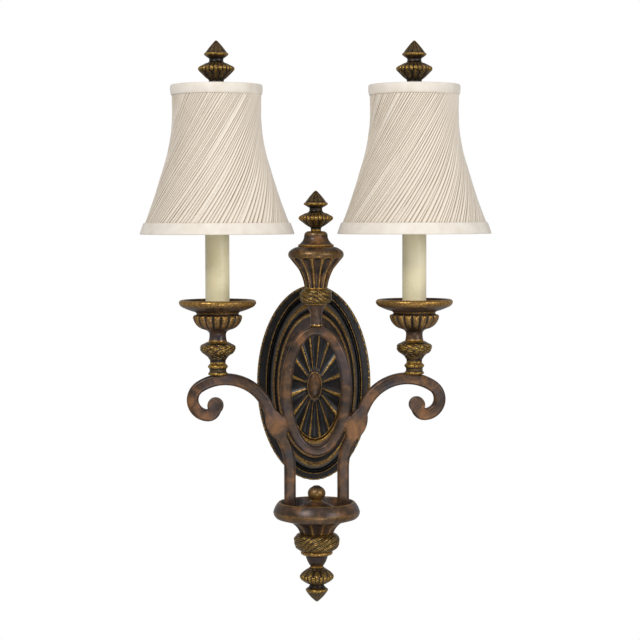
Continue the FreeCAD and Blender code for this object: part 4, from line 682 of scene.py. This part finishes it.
# the beads along the plate's outer edge, all of one length
def beadedEdge(points):
    halfWidth = plate["width"] / 2 * mm
    halfHeight = plate["height"] / 2 * mm
    count = plate["steps"]
    angle = np.arctan2(points[:, 2] / halfHeight, points[:, 0] / halfWidth) % math.tau
    even = evenAngles(plate["width"], plate["height"], count)
    along = np.interp(angle, np.append(even, math.tau), np.arange(count + 1) / count)
    notch = acrossRepeat(along * math.tau, plate["beads"]) ** 6
    depth = -points[:, 1] / mm
    share = np.hypot(points[:, 0] / halfWidth, points[:, 2] / halfHeight)
    zone = fadeBetween(depth, 2.4, 4.4) * fadeBetween(share, 0.965, 0.978)
    shrink = 1 - notch * zone * plate["beadDepth"] / plate["meanRadius"]
    points = points.copy()
    points[:, 0] *= shrink
    points[:, 2] *= shrink
    points[:, 1] += notch * zone * plate["beadRise"] * mm * fadeBetween(depth, 5.5, 7.0)
    return points


ovalPiece("backplate", plate["outside"] + plate["inside"], plate["steps"],
          [charcoal, black, brown], shape=beadedEdge, pitch=1.2,
          evenOn=(plate["width"], plate["height"]), replaces=["backplate"])

# the fluted rosette: sixteen hollows between thin ridges that run out from the boss
rosette = {
    "rings": [(55.2, 112.2, 33.1, 0), (55.2, 112.2, 35.0, 0), (54.4, 111.2, 35.7, 0),
              (52.6, 108.8, 35.9, 0), (16.2, 30.6, 37.7, 0), (14.0, 27.0, 37.7, 0)],
    "halfWidth": 27.6, "halfHeight": 56.1, "flutes": 16, "hollowShare": 0.93, "depth": 2.0,
    "steps": 288,
}


def rosetteFlutes(points):
    wide = points[:, 0] / (rosette["halfWidth"] * mm)
    tall = points[:, 2] / (rosette["halfHeight"] * mm)
    angle = np.arctan2(tall, wide)
    share = np.hypot(wide, tall)
    across = np.minimum(acrossRepeat(angle, rosette["flutes"], 0.5) / rosette["hollowShare"], 1)
    hollow = 1 - across ** 2
    ends = fadeBetween(0.985 - share, 0, 0.03) * fadeBetween(share, 0.27, 0.36)
    front = fadeBetween(-points[:, 1] / mm, 35.2, 35.7)
    points = points.copy()
    points[:, 1] += rosette["depth"] * mm * hollow * ends * front * (0.45 + 0.55 * share)
    return points


ovalPiece("rosette", rosette["rings"], rosette["steps"], [fluted], closed=False,
          shape=rosetteFlutes, pitch=0.6, replaces=["rosette"])

boss = {
    "rings": [(15.4, 29.0, 37.6, 0), (15.4, 29.0, 38.6, 0), (14.8, 28.4, 39.2, 0),
              (13.4, 26.8, 39.3, 0), (12.8, 26.0, 38.9, 0), (12.4, 25.4, 39.3, 0),
              (11.4, 23.8, 40.4, 0), (8.4, 18.6, 41.8, 0), (4.4, 10.0, 42.3, 0),
              (1.0, 2.4, 42.4, 0)],
    "steps": 120,
}
ovalPiece("rosette_boss", boss["rings"], boss["steps"], [brown], closed=False, pitch=0.45,
          replaces=["rosette_boss"])
print("backplate and rosette made")

# Arms and ring are one casting to the eye: copies of their solids are grown into each other,
# remeshed as one skin and smoothed, so that no seam shows where they run together.
casting = {"grow": 0.14, "voxel": 0.72, "smooth": 4, "reliefPasses": 20}
form = bmesh.new()
for name in ("center_ring", "left_arm", "right_arm"):
    part = bmesh.new()
    part.from_mesh(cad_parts[name].data)
    bmesh.ops.remove_doubles(part, verts=part.verts, dist=weld)
    part.normal_update()
    for vert in part.verts:
        vert.co += vert.normal * casting["grow"] * mm
    copy = bpy.data.meshes.new("copy")
    part.to_mesh(copy)
    part.free()
    form.from_mesh(copy)
mesh = bpy.data.meshes.new("rough_casting")
form.to_mesh(mesh)
form.free()
rough = bpy.data.objects.new("rough_casting", mesh)
scene.collection.objects.link(rough)
remesh = rough.modifiers.new("remesh", "REMESH")
remesh.mode = "VOXEL"
remesh.voxel_size = casting["voxel"] * mm
view = bpy.context.evaluated_depsgraph_get()
mesh = bpy.data.meshes.new_from_object(rough.evaluated_get(view))
bpy.data.objects.remove(rough)
writePoints(mesh, smoothPoints(mesh, readPoints(mesh), casting["smooth"]))
markRelief(mesh, passes=casting["reliefPasses"])
addPiece("arms_and_ring", mesh, [armBrown], replaces=["center_ring", "left_arm", "right_arm"])
print("arms and ring remeshed:", len(mesh.polygons), "faces")

# Silk, hand pleated and swirled: the shader's soft pearl sheen along the folds, and warm shade
# painted between them
silk, tree, shader = newMaterial("silk_pleated", **{"Roughness": 0.62, "Sheen Weight": 0.35,
                                                    "Sheen Roughness": 0.4})
where = addNode(tree, "ShaderNodeTexCoord").outputs["Object"]
relief = addNode(tree, "ShaderNodeAttribute", attribute_name="relief").outputs["Fac"]
# painted shade: the pleats' valleys are coloured dark and their crests light, following each fold's
# height
foldShadeMask = addNode(tree, "ShaderNodeMapRange", {1: 0.0, 2: 0.7}, {0: relief})
foldShadeTone = addNode(
    tree, "ShaderNodeValToRGB", links={0: foldShadeMask.outputs[0]},
    stops=[(0.06, hexColor("#7a6750")), (0.34, hexColor("#cbbba5")), (0.75, hexColor("#e9dfd1"))],
)
slubs = addNode(tree, "ShaderNodeTexNoise", {"Scale": 60.0, "Detail": 4.0}, {"Vector": where})
slubMask = addNode(tree, "ShaderNodeMapRange", {1: 0.4, 2: 0.7, 4: 0.35}, {0: slubs.outputs["Fac"]})
silkTone = addNode(
    tree, "ShaderNodeMix", {7: hexColor("#ddd1c0")},
    {0: slubMask.outputs[0], 6: foldShadeTone.outputs[0]}, data_type="RGBA",
)
tree.links.new(silkTone.outputs[2], shader.inputs["Base Color"])
# threads of a quarter millimetre are too fine to show, so they are drawn at half a millimetre
weave = addNode(tree, "ShaderNodeTexNoise", {"Scale": 1900.0, "Detail": 1.0}, {"Vector": where})
threads = addNode(tree, "ShaderNodeBump", {"Strength": 0.12, "Distance": 0.0002},
                  {"Height": weave.outputs["Fac"]})
tree.links.new(threads.outputs[0], shader.inputs["Normal"])

# the same silk cut on the bias and folded over the wire, smooth and a little brighter
tape, tree, shader = newMaterial("silk_bias_tape", **{"Roughness": 0.66, "Sheen Weight": 0.3,
                                                      "Sheen Roughness": 0.4})
where = addNode(tree, "ShaderNodeTexCoord").outputs["Object"]
soil = addNode(tree, "ShaderNodeTexNoise", {"Scale": 90.0, "Detail": 4.0}, {"Vector": where})
tapeTone = addNode(
    tree, "ShaderNodeValToRGB", links={0: soil.outputs["Fac"]},
    stops=[(0.3, hexColor("#ded4c6")), (0.65, hexColor("#e9e1d5"))],
)
tree.links.new(tapeTone.outputs[0], shader.inputs["Base Color"])
creases = addNode(tree, "ShaderNodeTexNoise", {"Scale": 240.0, "Detail": 3.0}, {"Vector": where})
puffs = addNode(tree, "ShaderNodeBump", {"Strength": 0.25, "Distance": 0.0006},
                {"Height": creases.outputs["Fac"]})
tree.links.new(puffs.outputs[0], shader.inputs["Normal"])

# styrene sheet behind the silk, satin white
liner, tree, shader = newMaterial("styrene_sheet_satin", Roughness=0.5)
where = addNode(tree, "ShaderNodeTexCoord").outputs["Object"]
haze = addNode(tree, "ShaderNodeTexNoise", {"Scale": 40.0}, {"Vector": where})
linerTone = addNode(
    tree, "ShaderNodeValToRGB", links={0: haze.outputs["Fac"]},
    stops=[(0.3, hexColor("#ece6da")), (0.7, hexColor("#f5f1e8"))],
)
tree.links.new(linerTone.outputs[0], shader.inputs["Base Color"])

shade = {
    "corners": [(76.0, 0, -0.03), (54.0, 63.0, -0.09), (44.0, 123.0, 0), (44.6, 146.8, 0)],
    "hem": 156.8, "pleats": 118, "columns": 944, "twist": 0.62, "lowFold": 1.5, "highFold": 1.9,
    "cloth": 0.3, "seed": 21, "rowPitch": 4.2,
    "pleatWidths": (0.55, 1.5), "foldHeights": (0.35, 1.0), "crest": 0.86,
    # a strip as long as the hem is round and as wide as the slant, gathered closer to the top
    "flat": (0.478, 0.155),
}

lining = {"inset": 0.85, "sheet": 0.3, "pitch": 4.0, "steps": 180}
tapeLook = {
    "top": [(43.4, 136.9, 0), (44.9, 137.0, 0.1), (45.5, 146.6, 0.8), (43.2, 147.0, 0),
            (42.4, 141.0, 0), (42.6, 137.4, 0), (43.4, 136.9, 0)],
    "hem": [(72.2, 11.2, 0), (73.0, 11.0, 0), (76.8, 0.2, 0), (76.4, -0.6, 0.5), (74.6, -0.5, 0),
            (74.2, 0.6, 0), (71.4, 10.8, 0), (72.2, 11.2, 0)],
    "pitch": 0.7, "steps": 240,
}


# the shade's outline, drawn in so that cloth or sheet stays inside it
def shadeRow(corners, pitch, inset):
    outline = traceOutline(corners, pitch, 3)
    outline[:, 0] -= inset
    return outline


for side, sign in sides.items():
    picks = np.random.default_rng(shade["seed"] + sign)
    # pleats differ in width and in how high their folds stand
    widths = picks.uniform(*shade["pleatWidths"], shade["pleats"])
    ends = np.concatenate([[0], np.cumsum(widths)]) / widths.sum() * math.tau
    heights = picks.uniform(*shade["foldHeights"], shade["pleats"]) * np.sqrt(widths)
    drift = picks.uniform(-1, 1, shade["pleats"])
    outline = shadeRow(shade["corners"], shade["rowPitch"], shade["cloth"])
    mesh = spinOutline(f"{side}_shade_silk", outline * mm, shade["columns"])
    points = readPoints(mesh)
    angle = np.arctan2(points[:, 1], points[:, 0]) % math.tau
    radius = np.hypot(points[:, 0], points[:, 1]) / mm
    height = points[:, 2] / mm
    order = np.argsort(outline[:, 1])
    rise = outline[order, 1]
    reaches = outline[order, 0]
    middles = (reaches[1:] + reaches[:-1]) / 2
    turned = np.concatenate([[0], np.cumsum(np.diff(rise) / middles)])
    share = height / rise[-1]
    pleat = np.clip(np.searchsorted(ends, angle, side="right") - 1, 0, shade["pleats"] - 1)
    within = (angle - ends[pleat]) / (ends[pleat + 1] - ends[pleat])
    # knife pleats: each rises slowly and drops back at once
    crest = shade["crest"]
    fold = np.where(within < crest, within / crest, (1 - within) / (1 - crest)) ** 1.15
    sway = 0.75 + 0.25 * np.sin(share * 5 + drift[pleat] * 3)
    reach = shade["lowFold"] + (shade["highFold"] - shade["lowFold"]) * share
    reach = reach * heights[pleat] * sway
    radius = radius + (fold - 0.75) * reach
    lean = np.interp(height, rise, turned) * shade["twist"]
    angle = angle + lean + drift[pleat] * 0.004 * np.sin(share * math.pi * 2)
    points = np.stack([radius * mm * np.cos(angle) + lightX * sign,
                       radius * mm * np.sin(angle) + lightY,
                       (height + shade["hem"]) * mm], axis=1)
    writePoints(mesh, points)
    # here the relief is the fold's own height, so that the painted shade line runs along each pleat
    field = mesh.attributes.new("relief", "FLOAT", "POINT")
    field.data.foreach_set("value", (fold * (0.6 + 0.4 * heights[pleat])).astype(np.float32))
    cover = addPiece(f"{side}_shade_silk", mesh, [silk], body=f"{side}_shade",
                     replaces=[f"{side}_shade_cover"], slot="silk")
    thickness = cover.modifiers.new("cloth", "SOLIDIFY")
    thickness.thickness = shade["cloth"] * mm
    thickness.offset = -1

    # the lining, a smooth cone of sheet inside the silk
    place = np.array([lightX * sign, lightY, shade["hem"] * mm])
    inner = shadeRow(shade["corners"], lining["pitch"], lining["inset"] + shade["cloth"])
    mesh = spinOutline(f"{side}_shade_lining", inner * mm, lining["steps"])
    writePoints(mesh, readPoints(mesh) + place)
    insert = addPiece(f"{side}_shade_lining", mesh, [liner], body=f"{side}_shade", slot="silk")
    sheet = insert.modifiers.new("sheet", "SOLIDIFY")
    sheet.thickness = lining["sheet"] * mm

    # bias tape over both edges
    for edge in ("top", "hem"):
        outline = traceOutline(tapeLook[edge], tapeLook["pitch"])[:-1] * mm
        mesh = spinOutline(f"{side}_{edge}_tape", outline, tapeLook["steps"], closed=True)
        writePoints(mesh, readPoints(mesh) + place)
        addPiece(f"{side}_{edge}_tape", mesh, [tape], body=f"{side}_shade",
                              replaces=[f"{side}_shade_trims"] if edge == "top" else (),
                              slot="silk")
print("shades pleated")

# clear soda-lime glass, blown: a thin bright outline with sharp highlights
glass = newMaterial("glass_clear_blown", **{
    "Base Color": hexColor("#f7f9f9"), "Roughness": 0.02, "IOR": 1.5, "Transmission Weight": 1.0,
})[0]
# drawn nickel wire: a dull grey line through the glass
wire = newMaterial("nickel_wire_drawn", **{
    "Base Color": hexColor("#a9a49a"), "Metallic": 1.0, "Roughness": 0.3,
})[0]
bulb = {
    "corners": [(6.6, 0, 0), (6.7, 2.6, -0.1), (14.4, 17.0, 0.12), (17.2, 31.0, 0.15),
                (10.8, 58.0, -0.05), (1.0, 77.8, 0)],
    "foot": 184.5, "tip": 78.0, "wall": 0.6,
    "wire": 0.18,
    "stops": [(-2.2, 0, 1), (-2.4, 0, 12), (-3.6, 0, 24), (-3.0, 1.2, 40), (-1.2, 0.4, 48),
              (0, -1.0, 30), (1.2, 0.4, 48), (3.0, 1.2, 40), (3.6, 0, 24), (2.4, 0, 12),
              (2.2, 0, 1)],
}
for side, sign in sides.items():
    outline = traceOutline(bulb["corners"], 1.2, 3)
    mesh = spinOutline(f"{side}_bulb_glass", np.vstack([outline, (0, bulb["tip"])]) * mm, 72)
    writePoints(mesh, readPoints(mesh) + np.array([lightX * sign, lightY, bulb["foot"] * mm]))
    envelope = addPiece(f"{side}_bulb_glass", mesh, [glass], replaces=[f"{side}_bulb"],
                        slot="glass")
    wall = envelope.modifiers.new("wall", "SOLIDIFY")
    wall.thickness = bulb["wall"] * mm
    wall.offset = -1
    # one bent wire stands for the lead wires and the filament they carry
    line = bpy.data.curves.new(f"{side}_filament", "CURVE")
    line.dimensions = "3D"
    line.bevel_depth = bulb["wire"] * mm
    line.bevel_resolution = 3
    route = line.splines.new("NURBS")
    route.points.add(len(bulb["stops"]) - 1)
    for point, (px, py, pz) in zip(route.points, bulb["stops"]):
        point.co = (lightX * sign + px * mm, lightY + py * mm, (bulb["foot"] + pz) * mm, 1)
    route.order_u = 3
    route.use_endpoint_u = True
    filament = bpy.data.objects.new(f"{side}_filament", line)
    line.materials.append(wire)
    scene.collection.objects.link(filament)
    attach(filament, "fixture")
print("bulbs made")


# plain parts kept from the solids: one colour with its own grain, mottle and gloss
def plainFinish(name, look):
    material, tree, shader = newMaterial(name, **look.get("values", {}))
    where = addNode(tree, "ShaderNodeTexCoord").outputs["Object"]
    mottle = addNode(
        tree, "ShaderNodeTexNoise", {"Scale": 1 / look["patch"], "Detail": 5.0, "Roughness": 0.6},
        {"Vector": where},
    )
    tone = addNode(
        tree, "ShaderNodeValToRGB", links={0: mottle.outputs["Fac"]},
        stops=[(0.3, hexColor(look["dark"])), (0.7, hexColor(look["light"]))],
    )
    tree.links.new(tone.outputs[0], shader.inputs["Base Color"])
    gloss = addNode(
        tree, "ShaderNodeMapRange",
        {1: 0.3, 2: 0.7, 3: look["roughness"] - 0.05, 4: look["roughness"] + 0.05},
        {0: mottle.outputs["Fac"]},
    )
    tree.links.new(gloss.outputs[0], shader.inputs["Roughness"])
    stretch = addNode(tree, "ShaderNodeMapping", {"Scale": look.get("grainStretch", (1, 1, 1))},
                      {"Vector": where})
    grain = addNode(
        tree, "ShaderNodeTexNoise", {"Scale": 1 / look["grain"], "Detail": 2.0},
        {"Vector": stretch.outputs[0]},
    )
    skin = addNode(tree, "ShaderNodeBump", {"Strength": look["skin"], "Distance": 0.0002},
                   {"Height": grain.outputs["Fac"]})
    tree.links.new(skin.outputs[0], shader.inputs["Normal"])
    return material


kept = {
    # pressed steel with a satin zinc plate, grey with a faint bluish spangle
    "steel": plainFinish("steel_pressed_zinc_plated", {
        "dark": "#8d9093", "light": "#b9bcbd", "patch": 0.004, "roughness": 0.38,
        "grain": 0.0006, "skin": 0.15, "values": {"Metallic": 0.9},
    }),
    # turned brass, satin, slightly tarnished
    "brass": plainFinish("brass_turned_satin", {
        "dark": "#8f6b31", "light": "#c39b52", "patch": 0.006, "roughness": 0.34,
        "grain": 0.0005, "skin": 0.12, "values": {"Metallic": 0.95},
    }),
    # drawn copper wire, bright with brown patches
    "copper": plainFinish("copper_wire_drawn", {
        "dark": "#7c4327", "light": "#bd7448", "patch": 0.005, "roughness": 0.36,
        "grain": 0.0004, "skin": 0.1, "values": {"Metallic": 0.95},
    }),
    # steel screw dyed green over zinc: a thin even colour with the metal's gloss
    "green": plainFinish("steel_screw_green_dyed", {
        "dark": "#14532e", "light": "#1f7a45", "patch": 0.003, "roughness": 0.38,
        "grain": 0.0005, "skin": 0.12, "values": {"Metallic": 0.7},
    }),
    # soft PVC wire cover, extruded: an even satin black
    "cover": plainFinish("pvc_cover_extruded", {
        "dark": "#0f0f10", "light": "#1d1d1f", "patch": 0.006, "roughness": 0.42,
        "grain": 0.0008, "skin": 0.08, "values": {"IOR": 1.5},
    }),
    # polypropylene wire nut, moulded: a slightly waxy orange
    "nut": plainFinish("polypropylene_nut_moulded", {
        "dark": "#c9641a", "light": "#e07c28", "patch": 0.008, "roughness": 0.36,
        "grain": 0.0007, "skin": 0.1, "values": {"IOR": 1.49},
    }),
    # phenolic socket, moulded: a dull dark brown
    "socket": plainFinish("phenolic_socket_moulded", {
        "dark": "#1c1410", "light": "#2b201a", "patch": 0.007, "roughness": 0.4,
        "grain": 0.0006, "skin": 0.14, "values": {"IOR": 1.6},
    }),
    # candle sleeve: polystyrene tube in candle cream, smooth and a little glossy
    "candle": plainFinish("polystyrene_sleeve_cream", {
        "dark": "#eadcae", "light": "#f4eac8", "patch": 0.03, "roughness": 0.28,
        "grain": 0.002, "skin": 0.06, "values": {"IOR": 1.55},
    }),
    "bronze": brown,
}
keptNodes = {
    "steel": ["wall_bracket", "edge_screws", "top_rod", "bottom_rod", "foot_bar",
              "threaded_tubes"],
    "brass": ["lock_nuts"],
    "copper": ["ground_wire"],
    "green": ["ground_screw"],
    "cover": ["leads"],
    "nut": ["wire_nuts"],
    "bronze": ["standoffs"],
}
sideNodes = {
    "steel": ["bulb_clip", "shade_spider", "shade_bottom_ring"],
    "brass": ["bulb_base", "finial_washer"],
    "socket": ["socket"],
    "candle": ["candle_sleeve"],
}
for side in sides:
    for finish, names in sideNodes.items():
        keptNodes.setdefault(finish, []).extend(f"{side}_{name}" for name in names)
for finish, names in keptNodes.items():
    for name in names:
        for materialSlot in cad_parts[name].material_slots:
            materialSlot.material = kept[finish]
print("kept parts finished")

# a plain pale floor well below the sconce, and soft studio light
floorLook = {"halfSize": 0.8, "height": -1.2}
floorPlane = bmesh.new()
bmesh.ops.create_grid(floorPlane, x_segments=2, y_segments=2, size=floorLook["halfSize"])
bmesh.ops.translate(floorPlane, verts=floorPlane.verts, vec=(0, 0, floorLook["height"]))
mesh = bpy.data.meshes.new("floor")
floorPlane.to_mesh(mesh)
floorPlane.free()
floor = bpy.data.objects.new("floor", mesh)
scene.collection.objects.link(floor)
# matte white paint, rolled: an even pale tone with no highlight
floorPaint = newMaterial("floor_matte_white", **{
    "Base Color": hexColor("#e9e9e9"), "Roughness": 0.9,
})[0]
mesh.materials.append(floorPaint)

lamps = {
    # name: place, size, watts
    "key": ((-1.0, -1.5, 1.3), 0.7, 21.0),
    "fill": ((1.3, -1.3, 0.6), 0.8, 11.0),
    "low": ((0.2, -1.5, -0.6), 0.7, 5.0),
}
for name, (place, size, watts) in lamps.items():
    lampData = bpy.data.lights.new(name, "AREA")
    lampData.size = size
    lampData.energy = watts
    lamp = bpy.data.objects.new(name, lampData)
    scene.collection.objects.link(lamp)
    facing = (Vector((0, -0.1, 0.08)) - Vector(place)).to_track_quat("-Z", "Y")
    lamp.matrix_world = Matrix.Translation(place) @ facing.to_matrix().to_4x4()

world = bpy.data.worlds.new("studio")
scene.world = world
world.use_nodes = True
tree = world.node_tree
tree.nodes.clear()
path = addNode(tree, "ShaderNodeLightPath")
seen = addNode(tree, "ShaderNodeMath", links={0: path.outputs["Is Camera Ray"],
                                              1: path.outputs["Is Transmission Ray"]},
               operation="MAXIMUM")
roomLight = addNode(tree, "ShaderNodeBackground", {"Color": hexColor("#ffffff"), "Strength": 0.42})
backdrop = addNode(tree, "ShaderNodeBackground", {"Color": hexColor("#ffffff"), "Strength": 1.0})
either = addNode(tree, "ShaderNodeMixShader", links={0: seen.outputs[0], 1: roomLight.outputs[0],
                                                    2: backdrop.outputs[0]})
addNode(tree, "ShaderNodeOutputWorld", links={"Surface": either.outputs[0]})
scene.view_settings.view_transform = "Standard"
print("stage lit")
